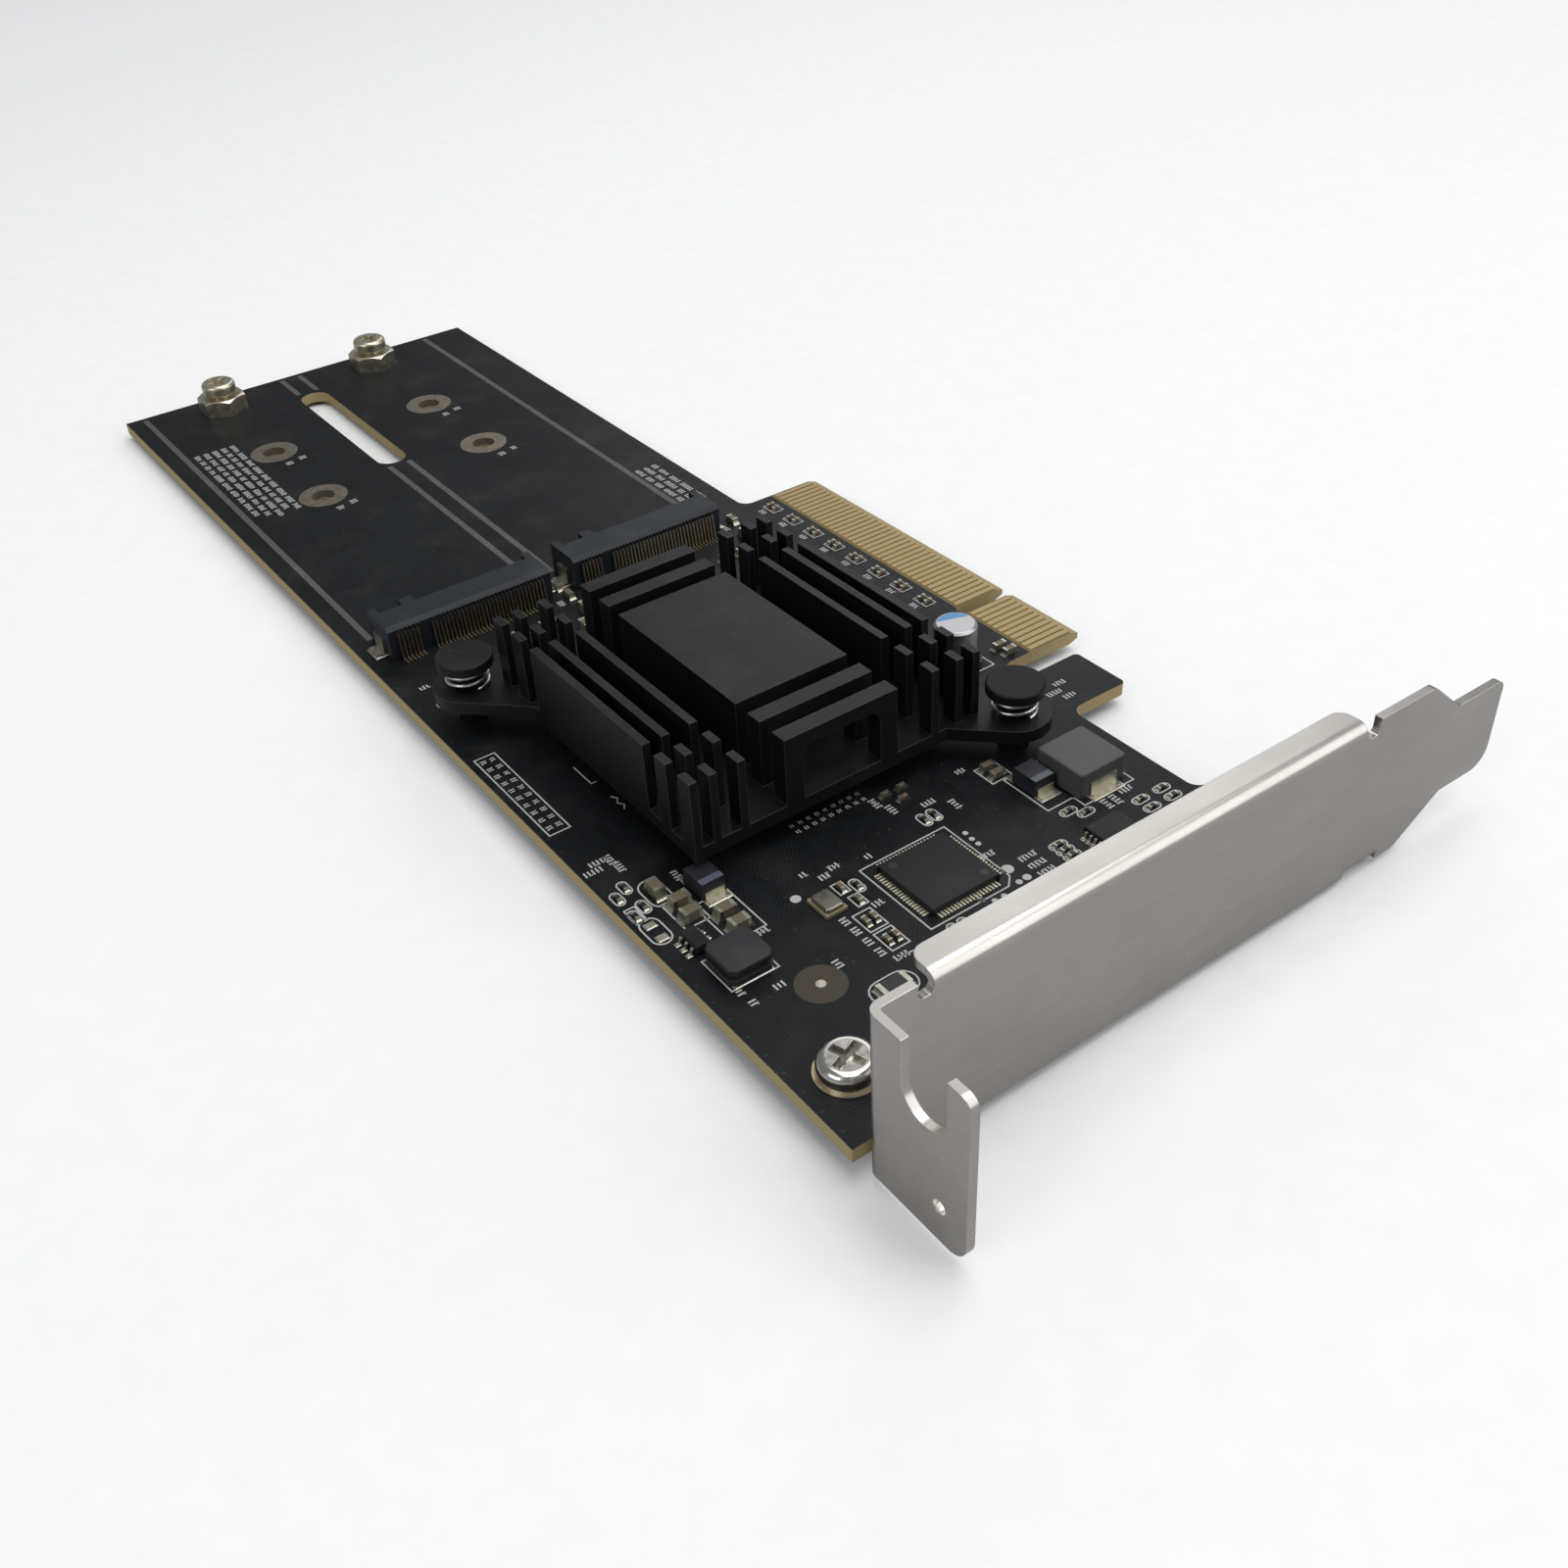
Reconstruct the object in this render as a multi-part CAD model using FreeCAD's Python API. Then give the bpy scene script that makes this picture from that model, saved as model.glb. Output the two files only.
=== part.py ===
import FreeCAD, Part
import os
from math import cos, pi, sin, tan

# Low-profile plug-in card that carries two flat storage modules.
# Frame: +X towards the bracket, +Y towards the edge contacts, +Z out of the component face.
# The origin is the centre of the key notch, on the mating edge, at the component face.

# ---- board ----
boardThickness = 1.57
cardFarMargin = 5.18       # standoffs to the board's far end
cardLowerMargin = 5.6      # second socket's clips to the board's shoulder
cardNearX = 57.15          # board end behind the bracket
shoulderDepth = 12.15      # mating edge to the board's shoulders

tongueMargin = 0.3         # end contacts to the ends of the contact tongue
tongueBevel = 0.45
bevelAngle = 20            # degrees from the board's face
keyWidth = 1.9
keyDepth = 8.0
cornerRelief = 1.6         # inside corners of the outline
hairline = 0.01            # keeps two arcs that meet from closing on each other
overcut = 1.0              # cutting shapes run this far past the material

hookGap = 3.55             # contact tongue to the latch hook
hookWidth = 7.8
hookRecess = 3.7           # mating edge back to the hook's tip
hookCorner = 0.6

footWidth = 15.15          # board foot that carries the second bracket screw
footRecess = 2.6
footCorner = 2.0

# ---- edge contacts ----
contactPitch = 1.0
contactWidth = 0.7
contactLength = 6.2
contactSetback = 1.05      # mating edge to the contacts
contactsBeforeKey = 11
contactsAfterKey = 38
keyContactGap = 0.2        # key notch to the contacts on its sides
platingThickness = 0.05

# ---- bracket ----
sheet = 0.86
bracketBoardGap = 0.49     # board end to the back of the face
bracketHeight = 18.42
bracketLength = 79.2       # tab's outer face to the tongue's tip
tabSetback = 1.0           # free edge back to the tab's outer face
bracketTongueWidth = 10.19
bracketTongueLength = 7.2
bracketUpperTaper = 4.7
bracketLowerTaper = 6.2
bracketCorner = 1.0
tongueCorner = 2.4         # lower corner of the tongue's tip
bendRadius = 0.4           # inside radius of each bend
tabReach = 11.43           # outer face to the tab's tip
tabUpperCorner = 1.2
tabLowerCorner = 2.2
slotWidth = 5.2
slotDepth = 6.8
slotCentre = 6.2           # outer face to the screw slot's centre
tabHoleRadius = 0.75
tabHoleCentre = 8.2
tabHoleRise = 4.0          # lower edge to the tab hole
lipStart = 6.4             # tab's outer face to the lip
lipLength = 51.4
lipDepth = 3.5
lipCorner = 1.4
reliefWidth = 1.7          # notch at each end of the lip
reliefDepth = 1.7
reliefCorner = 0.6

# ---- bracket screws and lugs ----
screwSetback = 7.0         # board end to the screws
lugTabGap = 0.24           # tab's bend to the near lug
farScrewDepth = 7.2        # mating edge to the far screw
screwRadius = 1.45
screwGap = 0.05            # screw to the lug's hole
screwHeadRadius = 2.8
screwHeadHeight = 1.9
screwHeadRound = 0.9
screwRecess = 1.2
screwRecessReach = 1.75
screwRecessWing = 0.95
screwPoint = 0.4
screwOverhang = 0.5        # screw past the lug
boardHoleGap = 0.2         # fastener to the board's hole
lugWidth = 5.0
lugMargin = 3.6            # screw to the lug's end
screwPadRadius = 3.1

# ---- module bays ----
firstBayInset = 13.8                    # free edge to the first bay's centre line
clipGap = 0.9                           # between the two sockets' clips
moduleDatumX = -38.52                   # end of a seated module
modulePostDistances = [60.0, 42.0]      # plated holes for the shorter modules
longModule = 80.0
standoffAcrossFlats = 6.4
standoffHeight = 2.5
standoffTailRadius = 1.5
standoffTail = 0.5                      # tail past the board
standoffCrownDrop = 0.35                # chamfer at the hexagon's top
standoffCrownInset = 0.1
postThreadRadius = 1.1
postScrewNeckRadius = 1.45
postScrewNeck = 0.5
postScrewHeadRadius = 2.5
postScrewHeadHeight = 1.6
postScrewHeadRound = 0.6
postScrewRecess = 0.9
postScrewRecessReach = 1.5
postScrewRecessWing = 0.8
recessFloor = 0.55                      # recess floor as a share of its top width
recessTurn = 20                         # degrees from the X axis
ringOuterRadius = 3.4
ringHoleRadius = 1.6
bayGrooveWidth = 4.4                    # routed groove between the bays
bayGrooveLength = 31.6
bayGrooveFarGap = 8.8                   # board end to the groove

# ---- module connectors ----
connectorWidth = 21.9
connectorHeight = 4.2
connectorFrontReach = 1.8     # module datum back to the mouth
connectorBodyDepth = 5.6
connectorFloor = 1.7          # board to the mouth
connectorChamfer = 0.5
mouthHeight = 1.3
mouthDepth = 4.4
mouthWall = 1.0
mouthTopCut = 1.4
keyRibOffset = 6.125
keyRibWidth = 1.6
connectorPitch = 0.5
connectorPins = 40
pinWidth = 0.24
pinSheet = 0.15
pinExitHeight = 3.3
pinExitRun = 0.2
pinSlope = 0.7
pinFoot = 1.1
holdDownWidth = 2.4
holdDownHeight = 2.2
holdDownSheet = 0.3
holdDownFoot = 0.9

# ---- heatsink ----
sinkX = 2.75
sinkInset = 26.5              # free edge to the heatsink's centre
sinkWidth = 35.9
sinkBase = 1.5
sinkHeight = 9.4
blockLength = 22.1
slabLength = 2.0
slitLength = 2.1
slabsPerEnd = 2
finThickness = 0.9
finOffsets = [12.0, 15.25]    # inner fins; the outer pair is flush with the base
bridgeWidth = 14.0
bridgeLeg = 2.2
bridgeTop = 1.6
bridgeCorner = 1.4
earRadius = 4.0
earArm = 9.6                  # push pin to the arm's end under the fins
pinFinGap = 0.1               # push pin's head to the line of the outer fins

# ---- switch chip ----
switchSize = 19.0
switchSubstrate = 1.1
switchLidSize = 16.0
switchHeight = 2.3
thermalPadSize = 15.0
thermalPadThickness = 0.4

# ---- push pins ----
pinHeadRadius = 3.2
pinHeadHeight = 1.2
pinHeadRound = 0.25
pinHeadUnderRound = 0.2
pinShankRadius = 1.5
pinEarGap = 0.2
pinTipRadius = 0.75
pinBarbRadius = 2.0
pinBarbHeight = 1.6
pinBarbLand = 0.25
pinSplit = 0.6
springWire = 0.45
springRadius = 2.3
springLength = 2.5
springTurns = 2.25
springStepsPerTurn = 16

# ---- controller ----
controllerSetback = 21.45     # board end to the controller
controllerInset = 27.3
controllerSize = 8.4
controllerHeight = 0.9
controllerPitch = 0.4
controllerPadsPerSide = 19
controllerPadWidth = 0.22
controllerPadReach = 0.75
controllerPadHeight = 0.2
controllerChamfer = 0.08

# ---- crystal ----
crystalOffset = (-3.35, -10.9)    # from the controller
crystalSize = (3.2, 2.5)
crystalBase = 0.35
crystalHeight = 0.85
crystalLidInset = 0.2
crystalLidCorner = 0.35
crystalLidChamfer = 0.12

# ---- inductors ----
largeInductorGap = 1.15       # push pin's ear to the inductor
largeInductorRise = 19.5      # mating edge to its centre
largeInductorSize = (6.6, 6.4, 3.0)
largeInductorCorner = 0.5
largeInductorRim = 0.25
largeTerminalWidth = 3.6
largeTerminalHeight = 1.5
largeTerminalFoot = 0.7
terminalSheet = 0.15
smallInductorSetback = 23.45  # board end to its centre
smallInductorInset = 5.3
smallInductorSize = 4.9
smallInductorHeight = 2.0
smallInductorChamfer = 0.6
smallInductorFlange = 0.6
smallInductorWaist = 0.35
smallInductorRim = 0.12
smallTerminalLength = 1.2
smallTerminalInset = 0.3

# ---- polymer capacitors ----
polymerOffsetA = (-11.05, 3.55)   # from the small inductor
polymerOffsetB = (-1.6, -5.1)     # from the large inductor
polymerSize = (3.5, 2.8, 1.9)
polymerDraft = 0.12
polymerTerminalWidth = 2.2
polymerTerminalHeight = 0.9
polymerTerminalFoot = 0.8

# ---- regulator, memory chip ----
regulatorOffset = (-4.8, -1.7)    # from the small inductor
regulatorBody = (2.9, 1.6, 1.1)
regulatorPitch = 0.95
regulatorLeadsPerSide = 3
memoryOffset = (9.0, -4.6)        # from the large inductor
memoryBody = (3.0, 4.4, 1.0)
memoryPitch = 0.65
memoryLeadsPerSide = 4
leadWidth = 0.35
leadSheet = 0.15
leadReach = 0.7
leadShoulder = 0.25        # body to the lead's bend
bodyStandoff = 0.1
bodyChamfer = 0.1

# ---- electrolytic capacitor ----
canX = 8.25
canRise = 15.7             # mating edge to its centre
canRadius = 2.5
canHeight = 4.7
canBaseSize = 5.3
canBaseHeight = 0.7
canBaseCut = 0.9           # cut corners of the base
canGroove = 0.18
canGrooveRise = 1.0
canRound = 0.3
canLeadWidth = 0.8
canLeadReach = 0.6

# ---- chip capacitors and resistors: length, width, height, end cap ----
largeChip = (2.0, 1.25, 1.25, 0.4)
mediumChip = (1.6, 0.8, 0.8, 0.3)
smallChip = (1.0, 0.5, 0.5, 0.2)
thinChip = (1.0, 0.5, 0.35, 0.2)
linkChip = (3.2, 1.6, 0.6, 0.5)
capStep = 0.02             # end caps stand proud of the body by this

# ---- row of chip pairs behind the edge contacts ----
laneGap = 2.25             # contacts to the row
laneMargin = 3.15          # tongue's far end to the first pair
lanePitch = 4.5
laneSpread = 1.2
lanePairs = 8

# ---- chip places: x and distance from the free edge, from the part named ----
powerCapacitors = [(-10.35, 0.2), (-8.1, 0.0), (-6.35, 2.8), (-4.05, 2.8)]
powerInputCapacitor = [(-13.25, -0.7)]
powerResistors = [(-15.8, -2.7), (-14.8, -4.1), (-12.3, -2.7), (-11.5, -4.1)]
controllerCapacitors = [(-4.5, -8.4), (-2.15, -8.1), (0.8, -9.5), (0.8, -8.5), (4.0, -9.5), (4.0, -8.5)]
controllerSideCapacitors = [(-13.1, 4.0), (-13.1, 6.1), (-11.5, 5.1)]
controllerResistors = [(-3.85, -6.9), (-7.5, 4.6), (-7.5, 5.9), (6.9, -3.7), (6.9, -2.4)]
linkResistor = [(9.15, -12.9)]
inductorCapacitors = [(-6.6, -6.9), (-5.1, -6.9)]
memoryRowResistors = [(-1.85, -5.3), (-0.85, -5.3), (0.15, -5.3), (1.15, -5.3)]
memoryResistors = [(-3.9, 0.5), (-5.1, -0.8), (-1.9, 9.2), (-0.3, 9.2), (1.3, 9.2), (-1.9, 6.2), (-0.3, 6.2),
                   (1.3, 6.2)]
canCapacitors = [(0.95, -2.45), (2.45, -2.25)]
socketCapacitorsA = [(3.4, 2.0), (4.9, 4.9), (3.7, 8.6)]
socketLargeCapacitorsA = [(7.3, 10.4), (3.7, 12.5)]
socketCapacitorsB = [(4.3, 10.2), (4.3, 7.6)]
clipCapacitors = [(-0.95, 0.05), (-3.7, -0.05)]
edgeCapacitorB = [(-3.5, 1.85)]
edgeLargeCapacitorB = [(1.3, 0.85)]


def offsetFrom(spot, offset):
    return spot[0] + offset[0], spot[1] + offset[1]


# Worked out from the values above.
clipReach = holdDownSheet + holdDownFoot
secondBayInset = firstBayInset + connectorWidth + 2 * clipReach + clipGap
bayCentres = {"a": firstBayInset, "b": secondBayInset}
connectorBackX = moduleDatumX - connectorFrontReach + connectorBodyDepth
cardHeight = secondBayInset + connectorWidth / 2 + clipReach + cardLowerMargin + shoulderDepth
freeY = -cardHeight
shoulderY = -shoulderDepth
postX = moduleDatumX - longModule
cardFarX = postX - cardFarMargin
firstContactOffset = keyWidth / 2 + keyContactGap + contactWidth / 2
contactEnd = firstContactOffset + contactWidth / 2 + tongueMargin
tongueNearX = contactEnd + (contactsBeforeKey - 1) * contactPitch
tongueFarX = -contactEnd - (contactsAfterKey - 1) * contactPitch
hookStartX = tongueNearX + hookGap
footStartX = cardNearX - footWidth
bracketBackX = cardNearX + bracketBoardGap
bracketFaceX = bracketBackX + sheet
bracketTabY = freeY + tabSetback
lugTop = -boardThickness
bracketLow = lugTop - sheet
bracketTop = bracketLow + bracketHeight
bracketEndY = bracketTabY + bracketLength
bracketTipX = bracketFaceX + tabReach
outerBend = bendRadius + sheet
screwX = cardNearX - screwSetback
screwPlaces = [(screwX, bracketTabY + outerBend + lugTabGap + lugWidth / 2), (screwX, -farScrewDepth)]
sinkY = freeY + sinkInset
sinkFloor = switchHeight + thermalPadThickness
sinkLength = blockLength + 2 * slabsPerEnd * (slabLength + slitLength)
earTop = sinkFloor + sinkBase
pinOffset = sinkWidth / 2 + pinHeadRadius + pinFinGap
controllerX = cardNearX - controllerSetback
smallInductorX = cardNearX - smallInductorSetback
largeInductorX = sinkX + pinOffset + earRadius + largeInductorGap + largeInductorSize[0] / 2
largeInductorInset = cardHeight - largeInductorRise
controllerSpot = (controllerX, controllerInset)
smallInductorSpot = (smallInductorX, smallInductorInset)
largeInductorSpot = (largeInductorX, largeInductorInset)
crystalX, crystalInset = offsetFrom(controllerSpot, crystalOffset)
regulatorX, regulatorInset = offsetFrom(smallInductorSpot, regulatorOffset)
memoryX, memoryInset = offsetFrom(largeInductorSpot, memoryOffset)
polymerPlaces = {
    "a": offsetFrom(smallInductorSpot, polymerOffsetA), "b": offsetFrom(largeInductorSpot, polymerOffsetB)}
canInset = cardHeight - canRise
memorySpot = (memoryX, memoryInset)
contactFootX = connectorBackX + pinSlope + pinFoot
socketSpotA = (contactFootX, firstBayInset)
socketSpotB = (contactFootX, secondBayInset)
socketEdgeB = (contactFootX, secondBayInset + connectorWidth / 2 + clipReach)
clipSpot = (contactFootX, (firstBayInset + secondBayInset) / 2)
pushPinPlaces = [(sinkX + s * pinOffset, sinkY + s * pinOffset) for s in (-1, 1)]
bevelRun = tongueBevel / tan(bevelAngle * pi / 180)


def vec(x, y, z):
    return FreeCAD.Vector(x, y, z)


def box(xs, ys, zs):
    """A box between two X, two Y and two Z values."""
    (x0, x1), (y0, y1), (z0, z1) = sorted(xs), sorted(ys), sorted(zs)
    return Part.makeBox(x1 - x0, y1 - y0, z1 - z0, vec(x0, y0, z0))


def centred(x, y, length, width, z0, z1):
    return box((x - length / 2, x + length / 2), (y - width / 2, y + width / 2), (z0, z1))


def rod(x, y, radius, z0, z1):
    return Part.makeCylinder(radius, z1 - z0, vec(x, y, z0))


def turned(x, y, outline):
    """A solid turned about a vertical axis from (radius, z) points."""
    points = [vec(r, 0, z) for r, z in outline]
    face = Part.Face(Part.makePolygon(points + points[:1]))
    solid = face.revolve(vec(0, 0, 0), vec(0, 0, 1), 360)
    solid.translate(vec(x, y, 0))
    return solid


def roundedWire(corners, place):
    """A closed wire through (u, v, radius) corners, each radius a tangent arc."""
    count = len(corners)
    ends = []
    for i, (u, v, radius) in enumerate(corners):
        here = FreeCAD.Vector(u, v, 0)
        before = FreeCAD.Vector(*corners[i - 1][:2], 0) - here
        after = FreeCAD.Vector(*corners[(i + 1) % count][:2], 0) - here
        before.normalize()
        after.normalize()
        if radius == 0:
            ends.append((here, None, here))
            continue
        half = before.getAngle(after) / 2
        middle = before + after
        middle.normalize()
        tangent = radius / tan(half)
        arcMiddle = here + middle * (radius / sin(half) - radius)
        ends.append((here + before * tangent, arcMiddle, here + after * tangent))
    edges = []
    for i, (start, arcMiddle, end) in enumerate(ends):
        if arcMiddle is not None:
            edges.append(Part.Arc(place(start), place(arcMiddle), place(end)).toShape())
        following = ends[(i + 1) % count][0]
        if end.distanceToPoint(following) > 1e-6:
            edges.append(Part.LineSegment(place(end), place(following)).toShape())
    return Part.Wire(edges)


def plate(corners, z0, z1):
    """A flat plate with an outline in X and Y."""
    wire = roundedWire(corners, lambda p: vec(p.x, p.y, z0))
    return Part.Face(wire).extrude(vec(0, 0, z1 - z0))


def alongX(corners, x0, x1):
    """A bar with an outline in Y and Z."""
    wire = roundedWire(corners, lambda p: vec(x0, p.x, p.y))
    return Part.Face(wire).extrude(vec(x1 - x0, 0, 0))


def alongY(corners, y0, y1):
    """A bar with an outline in X and Z."""
    wire = roundedWire(corners, lambda p: vec(p.x, y0, p.y))
    return Part.Face(wire).extrude(vec(0, y1 - y0, 0))


def rim(shape, radius, z):
    """The round edges of one radius at one height."""
    return [e for e in shape.Edges if e.BoundBox.ZLength < 0.001 and abs(e.BoundBox.ZMin - z) < 0.001
            and abs(e.BoundBox.XLength - 2 * radius) < 0.01]


def edgesAt(shape, z):
    return [e for e in shape.Edges if e.BoundBox.ZMin > z - hairline]


def uprights(shape):
    return [e for e in shape.Edges if e.BoundBox.ZLength > shape.BoundBox.ZLength - hairline]


def square(corners):
    return [(u, v, 0) for u, v in corners]


def turnedBy(shape, x, y, degrees):
    shape.rotate(vec(x, y, 0), vec(0, 0, 1), degrees)
    return shape


def holePlaces():
    """Every round hole in the board: x, y, radius."""
    holes = [(x, y, screwRadius + boardHoleGap) for x, y in screwPlaces]
    holes += [(x, y, pinShankRadius + boardHoleGap) for x, y in pushPinPlaces]
    for inset in bayCentres.values():
        holes.append((postX, freeY + inset, standoffTailRadius))
        for distance in modulePostDistances:
            holes.append((moduleDatumX - distance, freeY + inset, ringHoleRadius))
    return holes


def makeBoard():
    hookEndX = hookStartX + hookWidth
    gapRound = (hookStartX - tongueNearX) / 2 - hairline
    outline = [
        (cardFarX, freeY, 0), (cardNearX, freeY, 0), (cardNearX, -footRecess, 0),
        (footStartX, -footRecess, footCorner), (footStartX, shoulderY, cornerRelief),
        (hookEndX, shoulderY, cornerRelief), (hookEndX, -hookRecess, hookCorner),
        (hookStartX, -hookRecess, hookCorner), (hookStartX, shoulderY, gapRound),
        (tongueNearX, shoulderY, gapRound), (tongueNearX, 0, 0),
        (tongueFarX, 0, 0), (tongueFarX, shoulderY, cornerRelief), (cardFarX, shoulderY, 0)]
    board = plate(outline, -boardThickness, 0)
    for side in (0, 1):
        z = -side * boardThickness
        inward = -tongueBevel if side == 0 else tongueBevel
        wedge = square([(overcut, z), (overcut, z + inward), (0, z + inward), (-bevelRun, z)])
        board = board.cut(alongX(wedge, tongueFarX - overcut, tongueNearX + overcut))
    keyRound = keyWidth / 2
    board = board.cut(box((-keyRound, keyRound), (-keyDepth + keyRound, overcut), (-boardThickness, 0)))
    board = board.cut(rod(0, -keyDepth + keyRound, keyRound, -boardThickness, 0))
    grooveX = cardFarX + bayGrooveFarGap
    grooveY = freeY + sum(bayCentres.values()) / 2
    grooveRound = bayGrooveWidth / 2 - hairline
    groove = [(grooveX + s * bayGrooveLength, grooveY + t * bayGrooveWidth / 2, grooveRound)
              for s, t in ((0, -1), (1, -1), (1, 1), (0, 1))]
    board = board.cut(plate(groove, -boardThickness, 0))
    for x, y, radius in holePlaces():
        board = board.cut(rod(x, y, radius, -boardThickness, 0))
    return board


def makeEdgeContacts():
    """Plated contacts on both faces of the tongue."""
    strips = []
    centres = [firstContactOffset + i * contactPitch for i in range(contactsBeforeKey)]
    centres += [-firstContactOffset - i * contactPitch for i in range(contactsAfterKey)]
    for x in centres:
        for z in (0, -boardThickness - platingThickness):
            strips.append(box((x - contactWidth / 2, x + contactWidth / 2),
                              (-contactSetback - contactLength, -contactSetback),
                              (z, z + platingThickness)))
    return Part.makeCompound(strips)


def bracketSide():
    """Side view of the bracket: tab end, lip edge, tapers and tongue."""
    step = (bracketHeight - bracketTongueWidth) / 2
    tongueStart = bracketEndY - bracketTongueLength
    return [
        (bracketTabY, bracketLow, 0), (tongueStart - bracketLowerTaper, bracketLow, bracketCorner),
        (tongueStart, bracketLow + step, bracketCorner), (bracketEndY, bracketLow + step, tongueCorner),
        (bracketEndY, bracketTop - step, bracketCorner), (tongueStart, bracketTop - step, bracketCorner),
        (tongueStart - bracketUpperTaper, bracketTop, bracketCorner), (bracketTabY, bracketTop, 0)]


def makeAngle():
    """Face and tab of the bracket, one bend between them."""
    plan = [
        (bracketBackX, bracketEndY, 0), (bracketBackX, bracketTabY, outerBend),
        (bracketTipX, bracketTabY, 0), (bracketTipX, bracketTabY + sheet, 0),
        (bracketFaceX, bracketTabY + sheet, bendRadius), (bracketFaceX, bracketEndY, 0)]
    body = plate(plan, bracketLow, bracketTop)
    body = body.common(alongX(bracketSide(), bracketBackX - overcut, bracketTipX + overcut))
    tab = alongY([
        (bracketBackX, bracketLow, 0), (bracketTipX, bracketLow, tabLowerCorner),
        (bracketTipX, bracketTop, tabUpperCorner), (bracketBackX, bracketTop, 0)],
        bracketTabY, bracketTabY + outerBend)
    face = box((bracketBackX, bracketFaceX), (bracketTabY + outerBend, bracketEndY), (bracketLow, bracketTop))
    return body.common(tab.fuse(face))


def throughTab(x, z, radius):
    return Part.makeCylinder(radius, sheet + 2 * overcut, vec(x, bracketTabY - overcut, z), vec(0, 1, 0))


def cutTab(body):
    """Open screw slot and round hole of the tab."""
    slotX = bracketFaceX + slotCentre
    slotFloor = bracketTop - slotDepth + slotWidth / 2
    body = body.cut(box((slotX - slotWidth / 2, slotX + slotWidth / 2),
                        (bracketTabY - overcut, bracketTabY + sheet + overcut),
                        (slotFloor, bracketTop + overcut)))
    body = body.cut(throughTab(slotX, slotFloor, slotWidth / 2))
    return body.cut(throughTab(bracketFaceX + tabHoleCentre, bracketLow + tabHoleRise, tabHoleRadius))


def addLip(body):
    """Lip folded back from the face's upper edge, a notch at each end."""
    near = bracketTabY + lipStart
    far = near + lipLength
    floor = bracketTop - reliefDepth
    for start, end in ((near - reliefWidth, near), (far, far + reliefWidth)):
        notch = alongX([(start, bracketTop + overcut, 0), (end, bracketTop + overcut, 0),
                        (end, floor, reliefCorner), (start, floor, reliefCorner)],
                       bracketBackX - overcut, bracketFaceX + overcut)
        body = body.cut(notch)
    body = body.cut(box((bracketBackX - overcut, bracketFaceX + overcut), (near, far),
                        (bracketTop - outerBend, bracketTop + overcut)))
    edge = bracketFaceX - lipDepth
    lip = [
        (bracketFaceX, bracketTop - outerBend, 0), (bracketFaceX, bracketTop, outerBend - hairline),
        (edge, bracketTop, 0), (edge, bracketTop - sheet, 0),
        (bracketBackX, bracketTop - sheet, bendRadius - hairline), (bracketBackX, bracketTop - outerBend, 0)]
    outline = [(bracketFaceX + overcut, near, 0), (bracketFaceX + overcut, far, 0), (edge, far, lipCorner),
               (edge, near, lipCorner)]
    return body.fuse(alongY(lip, near, far).common(plate(outline, bracketTop - outerBend, bracketTop)))


def addLug(body, x, y):
    """Lug folded from the face's lower edge to the board's underside."""
    sides = (y - lugWidth / 2, y + lugWidth / 2)
    body = body.cut(box((bracketBackX - overcut, bracketFaceX + overcut), sides,
                        (bracketLow - overcut, bracketLow + outerBend)))
    lug = alongY([
        (bracketFaceX, bracketLow + outerBend, 0), (bracketFaceX, bracketLow, outerBend - hairline),
        (x - lugMargin, bracketLow, 0), (x - lugMargin, lugTop, 0),
        (bracketBackX, lugTop, bendRadius - hairline), (bracketBackX, bracketLow + outerBend, 0)], *sides)
    return body.fuse(lug).cut(rod(x, y, screwRadius + screwGap, bracketLow, lugTop))


def makeBracket():
    body = addLip(cutTab(makeAngle()))
    for x, y in screwPlaces:
        body = addLug(body, x, y)
    return body.removeSplitter()


def crossRecess(x, y, top, reach, wing, depth):
    """Four-wing driver recess, narrowing towards its floor."""
    half, floor = wing / 2, wing / 2 * recessFloor
    wings = []
    for turn in (0, 90):
        wall = square([(y - half, top), (y + half, top), (y + floor, top - depth), (y - floor, top - depth)])
        bar = alongX(wall, x - reach, x + reach)
        wings.append(turnedBy(bar, x, y, turn + recessTurn))
    return wings[0].fuse(wings[1])


def makeBracketScrews():
    """Pan-head screws that clamp the bracket's lugs under the board."""
    screws = []
    for x, y in screwPlaces:
        seat = platingThickness
        top = seat + screwHeadHeight
        end = bracketLow - screwOverhang
        screw = turned(x, y, [
            (0, end), (screwRadius - screwPoint, end), (screwRadius, end + screwPoint), (screwRadius, seat),
            (screwHeadRadius, seat), (screwHeadRadius, top), (0, top)])
        screw = screw.makeFillet(screwHeadRound, rim(screw, screwHeadRadius, top))
        screws.append(screw.cut(crossRecess(x, y, top, screwRecessReach, screwRecessWing, screwRecess)))
    return Part.makeCompound(screws)


def makeScrewPads():
    """Plated ring under each bracket screw's head."""
    rings = []
    for x, y in screwPlaces:
        ring = rod(x, y, screwPadRadius, 0, platingThickness)
        rings.append(ring.cut(rod(x, y, screwRadius + boardHoleGap, 0, platingThickness)))
    return Part.makeCompound(rings)


def makeStandoffRings():
    """Plated rings, above and below, of the holes for shorter modules' standoffs."""
    rings = []
    for inset in bayCentres.values():
        for distance in modulePostDistances:
            x, y = moduleDatumX - distance, freeY + inset
            for z in (0, -boardThickness - platingThickness):
                ring = rod(x, y, ringOuterRadius, z, z + platingThickness)
                rings.append(ring.cut(rod(x, y, ringHoleRadius, z, z + platingThickness)))
    return Part.makeCompound(rings)


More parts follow.
